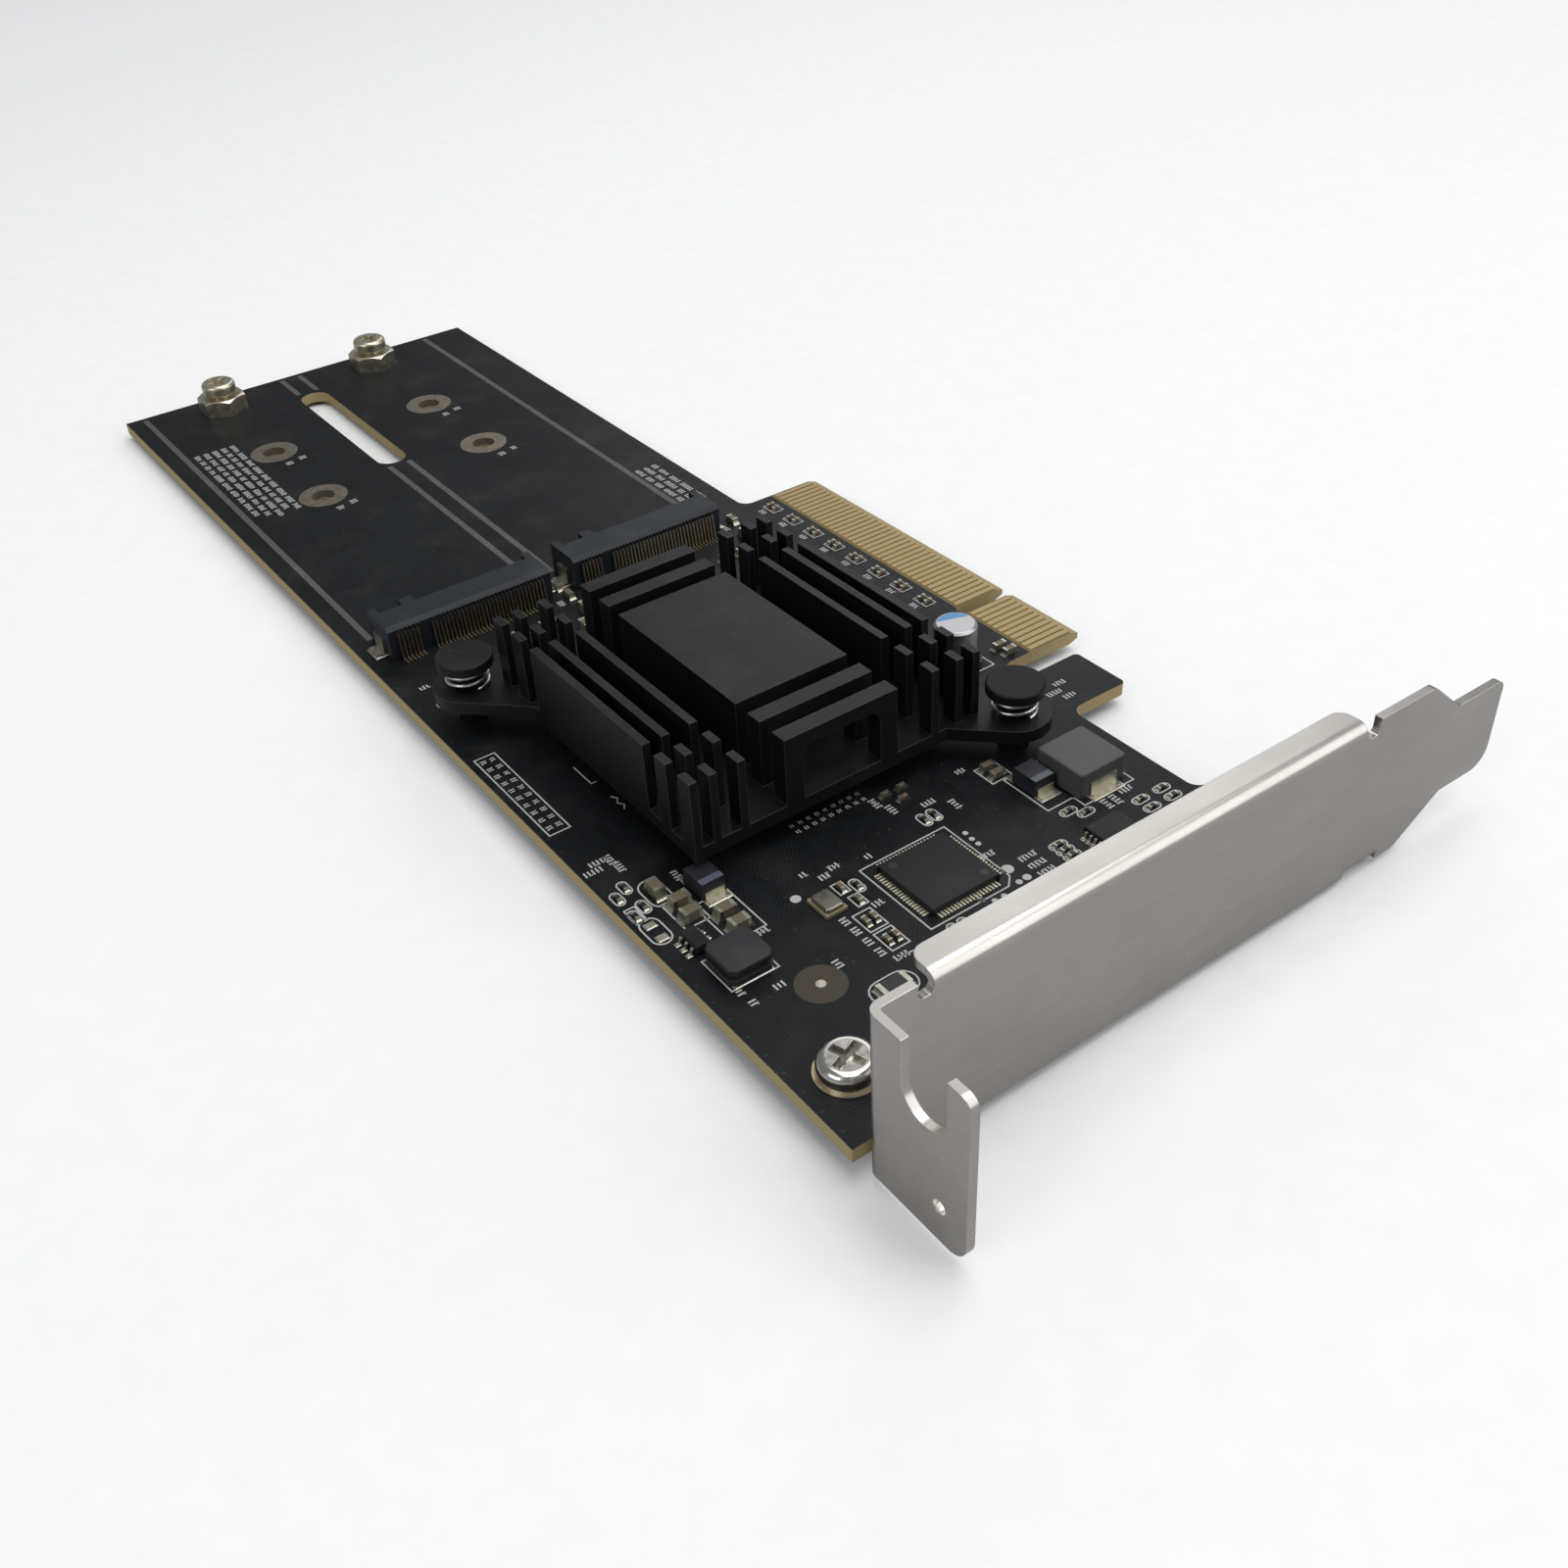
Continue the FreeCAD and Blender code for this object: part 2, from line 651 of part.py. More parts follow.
def makeStandoff(inset):
    """Hexagonal standoff with a tail soldered into the board."""
    y = freeY + inset
    corner = standoffAcrossFlats / 2 / cos(pi / 6)
    hexagon = square([(postX + corner * cos(i * pi / 3), y + corner * sin(i * pi / 3)) for i in range(6)])
    body = plate(hexagon, 0, standoffHeight)
    crownRadius = standoffAcrossFlats / 2 - standoffCrownInset
    crown = turned(postX, y, [(0, -overcut), (corner + overcut, -overcut),
                              (corner + overcut, standoffHeight - standoffCrownDrop),
                              (corner, standoffHeight - standoffCrownDrop),
                              (crownRadius, standoffHeight), (0, standoffHeight)])
    body = body.common(crown)
    tail = rod(postX, y, standoffTailRadius, -boardThickness - standoffTail, 0)
    bore = rod(postX, y, postThreadRadius, -boardThickness - standoffTail, standoffHeight)
    return body.fuse(tail).cut(bore)


def makePostScrews():
    """Module screws parked on the standoffs."""
    screws = []
    for inset in bayCentres.values():
        y = freeY + inset
        head = standoffHeight + postScrewNeck
        top = head + postScrewHeadHeight
        screw = turned(postX, y, [
            (0, -boardThickness), (postThreadRadius, -boardThickness), (postThreadRadius, standoffHeight),
            (postScrewNeckRadius, standoffHeight), (postScrewNeckRadius, head),
            (postScrewHeadRadius, head), (postScrewHeadRadius, top), (0, top)])
        screw = screw.makeFillet(postScrewHeadRound, rim(screw, postScrewHeadRadius, top))
        screws.append(screw.cut(crossRecess(postX, y, top, postScrewRecessReach, postScrewRecessWing,
                                            postScrewRecess)))
    return Part.makeCompound(screws)


def makeConnectorHousing(inset):
    """Module socket body, its mouth facing the standoffs."""
    y = freeY + inset
    front, back = moduleDatumX - connectorFrontReach, connectorBackX
    half = connectorWidth / 2
    body = alongY(square([(front, 0), (back, 0), (back, connectorHeight - connectorChamfer),
                          (back - connectorChamfer, connectorHeight), (front, connectorHeight)]),
                  y - half, y + half)
    walls = (y - half + mouthWall, y + half - mouthWall)
    mouth = box((front - overcut, front + mouthDepth), walls, (connectorFloor, connectorFloor + mouthHeight))
    openTop = box((front - overcut, front + mouthTopCut), walls, (connectorFloor, connectorHeight + overcut))
    ribY = y - keyRibOffset
    rib = box((front, front + mouthDepth), (ribY - keyRibWidth / 2, ribY + keyRibWidth / 2),
              (connectorFloor, connectorHeight))
    return body.cut(mouth).cut(openTop).fuse(rib).removeSplitter()


def makeConnectorContacts(inset):
    """Contact tails behind the socket, bent down to the board."""
    y = freeY + inset
    back = connectorBackX
    foot = back + pinSlope
    tails = []
    for i in range(connectorPins):
        offset = (i - (connectorPins - 1) / 2) * connectorPitch
        if abs(offset + keyRibOffset) < keyRibWidth / 2:
            continue
        outline = square([
            (back, pinExitHeight), (back + pinExitRun, pinExitHeight), (foot, pinSheet),
            (foot + pinFoot, pinSheet), (foot + pinFoot, 0), (foot - pinSheet, 0),
            (back + pinExitRun - pinSheet, pinExitHeight - pinSheet), (back, pinExitHeight - pinSheet)])
        tails.append(alongY(outline, y + offset - pinWidth / 2, y + offset + pinWidth / 2))
    return Part.makeCompound(tails)


def makeHoldDowns(inset):
    """Sheet clips that solder the socket's ends to the board."""
    y = freeY + inset
    x = moduleDatumX - connectorFrontReach + connectorBodyDepth / 2
    clips = []
    for side in (-1, 1):
        wall = y + side * connectorWidth / 2
        upright = box((x - holdDownWidth / 2, x + holdDownWidth / 2),
                      (wall, wall + side * holdDownSheet), (0, holdDownHeight))
        foot = box((x - holdDownWidth / 2, x + holdDownWidth / 2),
                   (wall, wall + side * (holdDownSheet + holdDownFoot)), (0, holdDownSheet))
        clips.append(upright.fuse(foot).removeSplitter())
    return Part.makeCompound(clips)


def bridgeSection(z0, z1):
    """Hollow centre of the heatsink: two legs and a flat top."""
    half = bridgeWidth / 2
    outer = alongX(square([(sinkY - half, z0), (sinkY + half, z0), (sinkY + half, z1), (sinkY - half, z1)]),
                   sinkX - sinkLength / 2, sinkX + sinkLength / 2)
    inside = half - bridgeLeg
    ceiling = z1 - bridgeTop
    opening = [(sinkY - inside, z0, 0), (sinkY + inside, z0, 0), (sinkY + inside, ceiling, bridgeCorner),
               (sinkY - inside, ceiling, bridgeCorner)]
    tunnel = alongX(opening, sinkX - sinkLength / 2, sinkX + sinkLength / 2)
    return outer.cut(tunnel)


def makeEar(x, y):
    """Rounded arm from the heatsink's base to a push pin."""
    ear = rod(x, y, earRadius, sinkFloor, earTop)
    reach = FreeCAD.Vector(sinkX - x, sinkY - y, 0)
    reach.normalize()
    side = FreeCAD.Vector(-reach.y, reach.x, 0) * earRadius
    start = FreeCAD.Vector(x, y, 0)
    end = start + reach * earArm
    arm = square([(p.x, p.y) for p in (start + side, start - side, end - side, end + side)])
    return ear.fuse(plate(arm, sinkFloor, earTop))


def makeHeatsink():
    half = sinkLength / 2
    top = sinkFloor + sinkHeight
    ends = (sinkX - half, sinkX + half)
    body = box(ends, (sinkY - sinkWidth / 2, sinkY + sinkWidth / 2), (sinkFloor, earTop))
    for offset in finOffsets + [sinkWidth / 2 - finThickness / 2]:
        for side in (-1, 1):
            y = sinkY + side * offset
            body = body.fuse(box(ends, (y - finThickness / 2, y + finThickness / 2), (earTop, top)))
    body = body.fuse(bridgeSection(earTop, top))
    for side in (-1, 1):
        for i in range(slabsPerEnd):
            start = sinkX + side * (blockLength / 2 + i * (slabLength + slitLength))
            body = body.cut(box((start, start + side * slitLength), (sinkY - sinkWidth, sinkY + sinkWidth),
                                (earTop, top + overcut)))
    for x, y in pushPinPlaces:
        body = body.fuse(makeEar(x, y))
        body = body.cut(rod(x, y, pinShankRadius + pinEarGap, sinkFloor, earTop))
    return body.removeSplitter()


def makeSwitchChip():
    """Ball-grid chip under the heatsink: substrate and raised lid."""
    substrate = centred(sinkX, sinkY, switchSize, switchSize, 0, switchSubstrate)
    lid = centred(sinkX, sinkY, switchLidSize, switchLidSize, switchSubstrate, switchHeight)
    return substrate.fuse(lid)


def makeThermalPad():
    return centred(sinkX, sinkY, thermalPadSize, thermalPadSize, switchHeight, sinkFloor)


def makePushPins():
    """Push pins: round head, shank and split barb below the board."""
    pins = []
    under = -boardThickness
    for x, y in pushPinPlaces:
        head = earTop + springLength
        top = head + pinHeadHeight
        pin = turned(x, y, [
            (0, under - pinBarbHeight), (pinTipRadius, under - pinBarbHeight),
            (pinBarbRadius, under - pinBarbLand), (pinBarbRadius, under), (pinShankRadius, under),
            (pinShankRadius, head), (pinHeadRadius, head), (pinHeadRadius, top), (0, top)])
        pin = pin.makeFillet(pinHeadRound, rim(pin, pinHeadRadius, top))
        pin = pin.makeFillet(pinHeadUnderRound, rim(pin, pinHeadRadius, head))
        split = box((x - pinSplit / 2, x + pinSplit / 2), (y - pinBarbRadius, y + pinBarbRadius),
                    (under - pinBarbHeight - overcut, under))
        pins.append(pin.cut(split))
    return Part.makeCompound(pins)


def springPath(x, y):
    """Rising coil from the ear to the push pin's head."""
    steps = round(springTurns * springStepsPerTurn)
    points = []
    for i in range(steps + 1):
        turn = 2 * pi * i / springStepsPerTurn
        rise = (springLength - springWire) * i / steps
        points.append(vec(x + springRadius * cos(turn), y + springRadius * sin(turn),
                          earTop + springWire / 2 + rise))
    path = Part.BSplineCurve()
    path.interpolate(points)
    return path


def makePinSprings():
    """Coil spring between each push pin's head and the heatsink's ear."""
    springs = []
    for x, y in pushPinPlaces:
        path = springPath(x, y)
        start = path.FirstParameter
        ring = Part.Wire(Part.makeCircle(springWire / 2, path.value(start), path.tangent(start)[0]))
        springs.append(Part.Wire(path.toShape()).makePipeShell([ring], True, True))
    return Part.makeCompound(springs)


def makeController():
    body = centred(controllerX, freeY + controllerInset, controllerSize, controllerSize, 0, controllerHeight)
    return body.makeChamfer(controllerChamfer, edgesAt(body, controllerHeight))


def makeControllerPads():
    """Row of solder pads along each side of the controller."""
    x, y = controllerX, freeY + controllerInset
    pads = []
    for turn in (0, 90, 180, 270):
        for i in range(controllerPadsPerSide):
            along = (i - (controllerPadsPerSide - 1) / 2) * controllerPitch
            pad = box((x + along - controllerPadWidth / 2, x + along + controllerPadWidth / 2),
                      (y - controllerSize / 2 - controllerPadReach, y - controllerSize / 2),
                      (0, controllerPadHeight))
            pads.append(turnedBy(pad, x, y, turn))
    return Part.makeCompound(pads)


def makeCrystalBase():
    length, width = crystalSize
    return centred(crystalX, freeY + crystalInset, length, width, 0, crystalBase)


def makeCrystalLid():
    length, width = (size - 2 * crystalLidInset for size in crystalSize)
    lid = centred(crystalX, freeY + crystalInset, length, width, crystalBase, crystalHeight)
    lid = lid.makeFillet(crystalLidCorner, uprights(lid))
    return lid.makeChamfer(crystalLidChamfer, edgesAt(lid, crystalHeight))


def makeLargeInductor():
    length, width, height = largeInductorSize
    x, y = largeInductorX, freeY + largeInductorInset
    body = centred(x, y, length, width, 0, height)
    body = body.makeFillet(largeInductorCorner, uprights(body))
    return body.makeFillet(largeInductorRim, edgesAt(body, height))


def makeEndTerminals(x, y, length, width, height, foot, ends=(-1, 1)):
    """L-shaped sheet terminals on the two ends of a body."""
    terminals = []
    for side in ends:
        face = x + side * length / 2
        upright = box((face, face + side * terminalSheet), (y - width / 2, y + width / 2), (0, height))
        tread = box((face, face + side * foot), (y - width / 2, y + width / 2), (0, terminalSheet))
        terminals.append(upright.fuse(tread).removeSplitter())
    return terminals


def makeLargeTerminals():
    return Part.makeCompound(makeEndTerminals(
        largeInductorX, freeY + largeInductorInset, largeInductorSize[0], largeTerminalWidth,
        largeTerminalHeight, largeTerminalFoot))


def chamferedSquare(x, y, size, chamfer):
    h, c = size / 2, size / 2 - chamfer
    return square([(x + u, y + v) for u, v in (
        (-c, -h), (c, -h), (h, -c), (h, c), (c, h), (-c, h), (-h, c), (-h, -c))])


def makeSmallInductor():
    """Drum-core inductor: two octagonal flanges and a narrower wound waist."""
    x, y = smallInductorX, freeY + smallInductorInset
    outline = chamferedSquare(x, y, smallInductorSize, smallInductorChamfer)
    waist = chamferedSquare(x, y, smallInductorSize - 2 * smallInductorWaist, smallInductorChamfer)
    lower = plate(outline, terminalSheet, terminalSheet + smallInductorFlange)
    upper = plate(outline, smallInductorHeight - smallInductorFlange, smallInductorHeight)
    upper = upper.makeChamfer(smallInductorRim, edgesAt(upper, smallInductorHeight))
    middle = plate(waist, terminalSheet, smallInductorHeight - smallInductorFlange)
    return lower.fuse(middle).fuse(upper).removeSplitter()


def makeSmallTerminals():
    x, y = smallInductorX, freeY + smallInductorInset
    reach = smallInductorSize / 2
    half = reach - smallTerminalInset
    pads = []
    for side in (-1, 1):
        pads.append(box((x + side * (reach - smallTerminalLength), x + side * reach), (y - half, y + half),
                        (0, terminalSheet)))
    return Part.makeCompound(pads)


def makePolymerCapacitor(place):
    """Moulded capacitor with drafted sides."""
    x, inset = place
    length, width, height = polymerSize
    y = freeY + inset
    rims = []
    for z, draft in ((bodyStandoff, 0), (height, polymerDraft)):
        u, v = length / 2 - draft, width / 2 - draft
        corners = [(x - u, y - v), (x + u, y - v), (x + u, y + v), (x - u, y + v), (x - u, y - v)]
        rims.append(Part.makePolygon([vec(*corner, z) for corner in corners]))
    return Part.makeLoft(rims, True)


def makePolymerTerminals():
    terminals = []
    for x, inset in polymerPlaces.values():
        terminals += makeEndTerminals(x, freeY + inset, polymerSize[0], polymerTerminalWidth,
                                      polymerTerminalHeight, polymerTerminalFoot)
    return Part.makeCompound(terminals)


def makeMouldedBody(x, inset, size):
    length, width, height = size
    body = centred(x, freeY + inset, length, width, bodyStandoff, height)
    return body.makeChamfer(bodyChamfer, edgesAt(body, height))


def makeGullLeads(x, inset, size, pitch, perSide):
    """Gull-wing leads along both Y sides of a moulded body."""
    y = freeY + inset
    exit = size[2] / 2
    leads = []
    for side in (-1, 1):
        wall = y + side * size[1] / 2
        bend, tip = wall + side * leadShoulder, wall + side * leadReach
        for i in range(perSide):
            at = x + (i - (perSide - 1) / 2) * pitch
            outline = square([(wall, exit + leadSheet), (bend, exit + leadSheet),
                              (bend + side * leadSheet, leadSheet), (tip, leadSheet), (tip, 0),
                              (bend, 0), (bend - side * leadSheet, exit), (wall, exit)])
            leads.append(alongX(outline, at - leadWidth / 2, at + leadWidth / 2))
    return Part.makeCompound(leads)


def makeCanBase():
    """Plastic foot of the electrolytic capacitor, two corners cut."""
    x, y = canX, freeY + canInset
    h = canBaseSize / 2
    c = h - canBaseCut
    corners = square([(x - h, y - h), (x + c, y - h), (x + h, y - c), (x + h, y + c), (x + c, y + h),
                      (x - h, y + h)])
    return plate(corners, 0, canBaseHeight)


def makeCan():
    z0 = canBaseHeight
    top = z0 + canHeight
    groove = z0 + canGrooveRise
    return turned(canX, freeY + canInset, [
        (0, z0), (canRadius, z0), (canRadius, groove - canGroove), (canRadius - canGroove, groove),
        (canRadius, groove + canGroove), (canRadius, top - canRound), (canRadius - canRound, top), (0, top)])


def makeCanLeads():
    x, y = canX, freeY + canInset
    leads = []
    for side in (-1, 1):
        edge = x + side * canBaseSize / 2
        leads.append(box((edge, edge + side * canLeadReach), (y - canLeadWidth / 2, y + canLeadWidth / 2),
                         (0, leadSheet)))
    return Part.makeCompound(leads)


def placed(anchor, offsets, turn, chip):
    """Chips at offsets from an anchor: x, distance from the free edge, turn, size."""
    return [(*offsetFrom(anchor, offset), turn, chip) for offset in offsets]


def lanePlaces():
    """Pairs of chips in a row behind the edge contacts."""
    inset = cardHeight - contactSetback - contactLength - laneGap
    starts = [tongueFarX + laneMargin + i * lanePitch for i in range(lanePairs)]
    return [(x + side * laneSpread / 2, inset, 90, smallChip) for x in starts for side in (-1, 1)]


capacitorPlaces = lanePlaces()
capacitorPlaces += placed(smallInductorSpot, powerCapacitors, 90, largeChip)
capacitorPlaces += placed(smallInductorSpot, powerInputCapacitor, 0, largeChip)
capacitorPlaces += placed(controllerSpot, controllerCapacitors, 0, smallChip)
capacitorPlaces += placed(controllerSpot, controllerSideCapacitors, 90, smallChip)
capacitorPlaces += placed(largeInductorSpot, inductorCapacitors, 90, mediumChip)
capacitorPlaces += placed((canX, cardHeight - contactSetback - contactLength), canCapacitors, 90, mediumChip)
capacitorPlaces += placed(socketSpotA, socketCapacitorsA, 90, mediumChip)
capacitorPlaces += placed(socketSpotA, socketLargeCapacitorsA, 0, largeChip)
capacitorPlaces += placed(clipSpot, clipCapacitors, 0, mediumChip)
capacitorPlaces += placed(socketSpotB, socketCapacitorsB, 90, mediumChip)
capacitorPlaces += placed(socketEdgeB, edgeCapacitorB, 0, mediumChip)
capacitorPlaces += placed(socketEdgeB, edgeLargeCapacitorB, 0, largeChip)
resistorPlaces = placed(smallInductorSpot, powerResistors, 0, thinChip)
resistorPlaces += placed(controllerSpot, controllerResistors, 0, thinChip)
resistorPlaces += placed(controllerSpot, linkResistor, 90, linkChip)
resistorPlaces += placed(memorySpot, memoryResistors, 90, thinChip)
resistorPlaces += placed(memorySpot, memoryRowResistors, 90, thinChip)


def makeChipBodies(places):
    bodies = []
    for x, inset, turn, (length, width, height, cap) in places:
        y = freeY + inset
        body = centred(x, y, length - 2 * cap, width - 2 * capStep, capStep, height - capStep)
        bodies.append(turnedBy(body, x, y, turn))
    return Part.makeCompound(bodies)


def makeChipEnds(places):
    """Metal end caps of the chip parts."""
    caps = []
    for x, inset, turn, (length, width, height, cap) in places:
        y = freeY + inset
        for side in (-1, 1):
            end = x + side * length / 2
            shape = box((end - side * cap, end), (y - width / 2, y + width / 2), (0, height))
            caps.append(turnedBy(shape, x, y, turn))
    return Part.makeCompound(caps)


parts = {
    "circuit_board": makeBoard(),
    "edge_contacts": makeEdgeContacts(),
    "bracket": makeBracket(),
    "bracket_screws": makeBracketScrews(),
    "screw_pads": makeScrewPads(),
    "standoff_rings": makeStandoffRings(),
    "standoff_screws": makePostScrews(),
    "heatsink": makeHeatsink(),
    "switch_chip": makeSwitchChip(),
    "thermal_pad": makeThermalPad(),
    "push_pins": makePushPins(),
    "push_pin_springs": makePinSprings(),
    "controller_chip": makeController(),
    "controller_pads": makeControllerPads(),
    "crystal_base": makeCrystalBase(),
    "crystal_lid": makeCrystalLid(),
    "large_inductor": makeLargeInductor(),
    "large_inductor_terminals": makeLargeTerminals(),
    "small_inductor": makeSmallInductor(),
    "small_inductor_terminals": makeSmallTerminals(),
    "polymer_capacitor_terminals": makePolymerTerminals(),
    "regulator": makeMouldedBody(regulatorX, regulatorInset, regulatorBody),
    "regulator_leads": makeGullLeads(
        regulatorX, regulatorInset, regulatorBody, regulatorPitch, regulatorLeadsPerSide),
    "memory_chip": makeMouldedBody(memoryX, memoryInset, memoryBody),
    "memory_chip_leads": makeGullLeads(memoryX, memoryInset, memoryBody, memoryPitch, memoryLeadsPerSide),
    "electrolytic_base": makeCanBase(),
    "electrolytic_can": makeCan(),
    "electrolytic_leads": makeCanLeads(),
    "ceramic_capacitors": makeChipBodies(capacitorPlaces),
    "ceramic_capacitor_ends": makeChipEnds(capacitorPlaces),
    "chip_resistors": makeChipBodies(resistorPlaces),
    "chip_resistor_ends": makeChipEnds(resistorPlaces),
}
for name, place in polymerPlaces.items():
    parts["polymer_capacitor_" + name] = makePolymerCapacitor(place)
for name, inset in bayCentres.items():
    parts["standoff_" + name] = makeStandoff(inset)
    parts["socket_" + name + "_housing"] = makeConnectorHousing(inset)
    parts["socket_" + name + "_contacts"] = makeConnectorContacts(inset)
    parts["socket_" + name + "_clips"] = makeHoldDowns(inset)

os.makedirs("parts", exist_ok=True)
for name, shape in parts.items():
    shape.exportStep("parts/" + name + ".step")
    state = "valid" if shape.isValid() else "INVALID"
    print(name, len(shape.Solids), "solids", round(shape.Volume, 2), "mm3", state)
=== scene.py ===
import math
import random

import bmesh
import bpy
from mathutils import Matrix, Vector


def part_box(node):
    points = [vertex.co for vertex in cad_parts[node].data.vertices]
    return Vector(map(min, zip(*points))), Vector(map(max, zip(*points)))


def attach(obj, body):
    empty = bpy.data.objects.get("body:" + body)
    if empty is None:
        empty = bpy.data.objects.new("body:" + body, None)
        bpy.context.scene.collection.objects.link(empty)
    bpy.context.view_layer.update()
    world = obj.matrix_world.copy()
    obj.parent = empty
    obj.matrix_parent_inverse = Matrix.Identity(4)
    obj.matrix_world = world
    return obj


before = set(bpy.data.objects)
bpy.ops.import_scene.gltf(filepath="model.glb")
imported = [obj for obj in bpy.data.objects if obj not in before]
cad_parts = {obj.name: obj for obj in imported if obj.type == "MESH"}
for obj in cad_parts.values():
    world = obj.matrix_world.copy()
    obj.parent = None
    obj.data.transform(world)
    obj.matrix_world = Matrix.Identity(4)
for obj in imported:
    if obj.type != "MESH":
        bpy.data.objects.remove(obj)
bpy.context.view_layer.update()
mm = 0.001

boardLow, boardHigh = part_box("circuit_board")
freeEdge = boardLow.y
bays = ["a", "b"]


def at(x, inset):
    # x along the board and distance in from its long free edge, both in mm
    return Vector((x * mm, freeEdge + inset * mm, 0))


def solidsIn(nodeName):
    # the box of every separate solid in a CAD node
    work = bmesh.new()
    work.from_mesh(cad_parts[nodeName].data)
    bmesh.ops.remove_doubles(work, verts=work.verts, dist=1e-6)
    left = set(work.verts)
    boxes = []
    while left:
        queue = [left.pop()]
        island = list(queue)
        while queue:
            for edge in queue.pop().link_edges:
                for vert in edge.verts:
                    if vert in left:
                        left.remove(vert)
                        queue.append(vert)
                        island.append(vert)
        low = Vector([min(v.co[k] for v in island) for k in range(3)])
        high = Vector([max(v.co[k] for v in island) for k in range(3)])
        boxes.append((low, high))
    work.free()
    boxes.sort(key=lambda b: (round(b[0].x, 5), round(b[0].y, 5), round(b[0].z, 5)))
    return boxes


def addNode(tree, kind, **values):
    made = tree.nodes.new("ShaderNode" + kind)
    for key, value in values.items():
        if key in made.inputs:
            made.inputs[key].default_value = value
        else:
            setattr(made, key, value)
    return made


def feed(tree, source, target):
    if isinstance(source, bpy.types.NodeSocket):
        tree.links.new(source, target)
    else:
        target.default_value = source


def calc(tree, operation, first, second=0.0, clamp=False):
    made = addNode(tree, "Math", operation=operation, use_clamp=clamp)
    feed(tree, first, made.inputs[0])
    feed(tree, second, made.inputs[1])
    return made.outputs[0]


def spread(tree, value, low, high, toLow=0.0, toHigh=1.0):
    made = addNode(tree, "MapRange")
    feed(tree, value, made.inputs["Value"])
    for label, number in (("From Min", low), ("From Max", high), ("To Min", toLow), ("To Max", toHigh)):
        made.inputs[label].default_value = number
    return made.outputs["Result"]


def tint(tree, mask, under, over):
    made = addNode(tree, "Mix", data_type="RGBA")
    feed(tree, mask, made.inputs[0])
    feed(tree, under if isinstance(under, bpy.types.NodeSocket) else (*under, 1), made.inputs[6])
    feed(tree, over if isinstance(over, bpy.types.NodeSocket) else (*over, 1), made.inputs[7])
    return made.outputs[2]


def newGroup(name, takes, gives):
    group = bpy.data.node_groups.new(name, "ShaderNodeTree")
    for label, value in takes:
        socket = group.interface.new_socket(label, in_out="INPUT", socket_type="NodeSocketFloat")
        socket.default_value = value
    for label, kind in gives:
        group.interface.new_socket(label, in_out="OUTPUT", socket_type="NodeSocket" + kind)
    return group, group.nodes.new("NodeGroupInput"), group.nodes.new("NodeGroupOutput")


def useGroup(tree, group, **values):
    made = tree.nodes.new("ShaderNodeGroup")
    made.node_tree = group
    for key, value in values.items():
        made.inputs[key].default_value = value
    return made


def makeSoftEdges():
    # small rounding on every hard edge, and a mask of those edges
    group, takes, gives = newGroup("softEdges", [("Radius", 0.0001)],
                                   [("Normal", "Vector"), ("Edge", "Float")])
    bevel = addNode(group, "Bevel", samples=6)
    group.links.new(takes.outputs["Radius"], bevel.inputs["Radius"])
    flat = addNode(group, "NewGeometry")
    dot = addNode(group, "VectorMath", operation="DOT_PRODUCT")
    group.links.new(bevel.outputs[0], dot.inputs[0])
    group.links.new(flat.outputs["Normal"], dot.inputs[1])
    group.links.new(bevel.outputs[0], gives.inputs["Normal"])
    group.links.new(spread(group, dot.outputs["Value"], 0.99, 0.8), gives.inputs["Edge"])
    return group


def makeFineGrain():
    # mottled tone and a matching height; Size is the grain in metres
    group, takes, gives = newGroup("fineGrain", [("Size", 0.0005), ("Detail", 4.0), ("Stretch", 1.0)],
                                   [("Tone", "Float"), ("Height", "Float")])
    place = addNode(group, "TexCoord")
    squeeze = addNode(group, "CombineXYZ")
    group.links.new(takes.outputs["Stretch"], squeeze.inputs[1])
    squeeze.inputs[0].default_value = 1
    squeeze.inputs[2].default_value = 1
    shaped = addNode(group, "VectorMath", operation="MULTIPLY")
    group.links.new(place.outputs["Object"], shaped.inputs[0])
    group.links.new(squeeze.outputs[0], shaped.inputs[1])
    noise = addNode(group, "TexNoise", Roughness=0.6)
    group.links.new(shaped.outputs[0], noise.inputs["Vector"])
    group.links.new(calc(group, "DIVIDE", 1.0, takes.outputs["Size"]), noise.inputs["Scale"])
    group.links.new(takes.outputs["Detail"], noise.inputs["Detail"])
    group.links.new(spread(group, noise.outputs["Fac"], 0.3, 0.7), gives.inputs["Tone"])
    group.links.new(noise.outputs["Fac"], gives.inputs["Height"])
    return group


def makeSettledDust():
    # sparse specks and a thin patchy film on surfaces that face up
    group, takes, gives = newGroup("settledDust", [("Amount", 0.3)], [("Dust", "Float")])
    place = addNode(group, "TexCoord")
    facing = addNode(group, "SeparateXYZ")
    group.links.new(place.outputs["Normal"], facing.inputs[0])
    upward = spread(group, facing.outputs["Z"], 0.4, 0.9)
    film = addNode(group, "TexNoise", Scale=160.0, Detail=5.0)
    group.links.new(place.outputs["Object"], film.inputs["Vector"])
    specks = addNode(group, "TexVoronoi", Scale=900.0)
    group.links.new(place.outputs["Object"], specks.inputs["Vector"])
    dots = spread(group, specks.outputs["Distance"], 0.13, 0.06)
    chance = addNode(group, "SeparateColor")
    group.links.new(specks.outputs["Color"], chance.inputs[0])
    rare = spread(group, chance.outputs[0], 0.86, 0.9)
    patchy = spread(group, film.outputs["Fac"], 0.5, 0.75, 0.0, 0.25)
    total = calc(group, "ADD", calc(group, "MULTIPLY", dots, rare), patchy)
    total = calc(group, "MULTIPLY", calc(group, "MULTIPLY", total, upward), takes.outputs["Amount"], True)
    group.links.new(total, gives.inputs["Dust"])
    return group


softEdges = makeSoftEdges()
fineGrain = makeFineGrain()
settledDust = makeSettledDust()

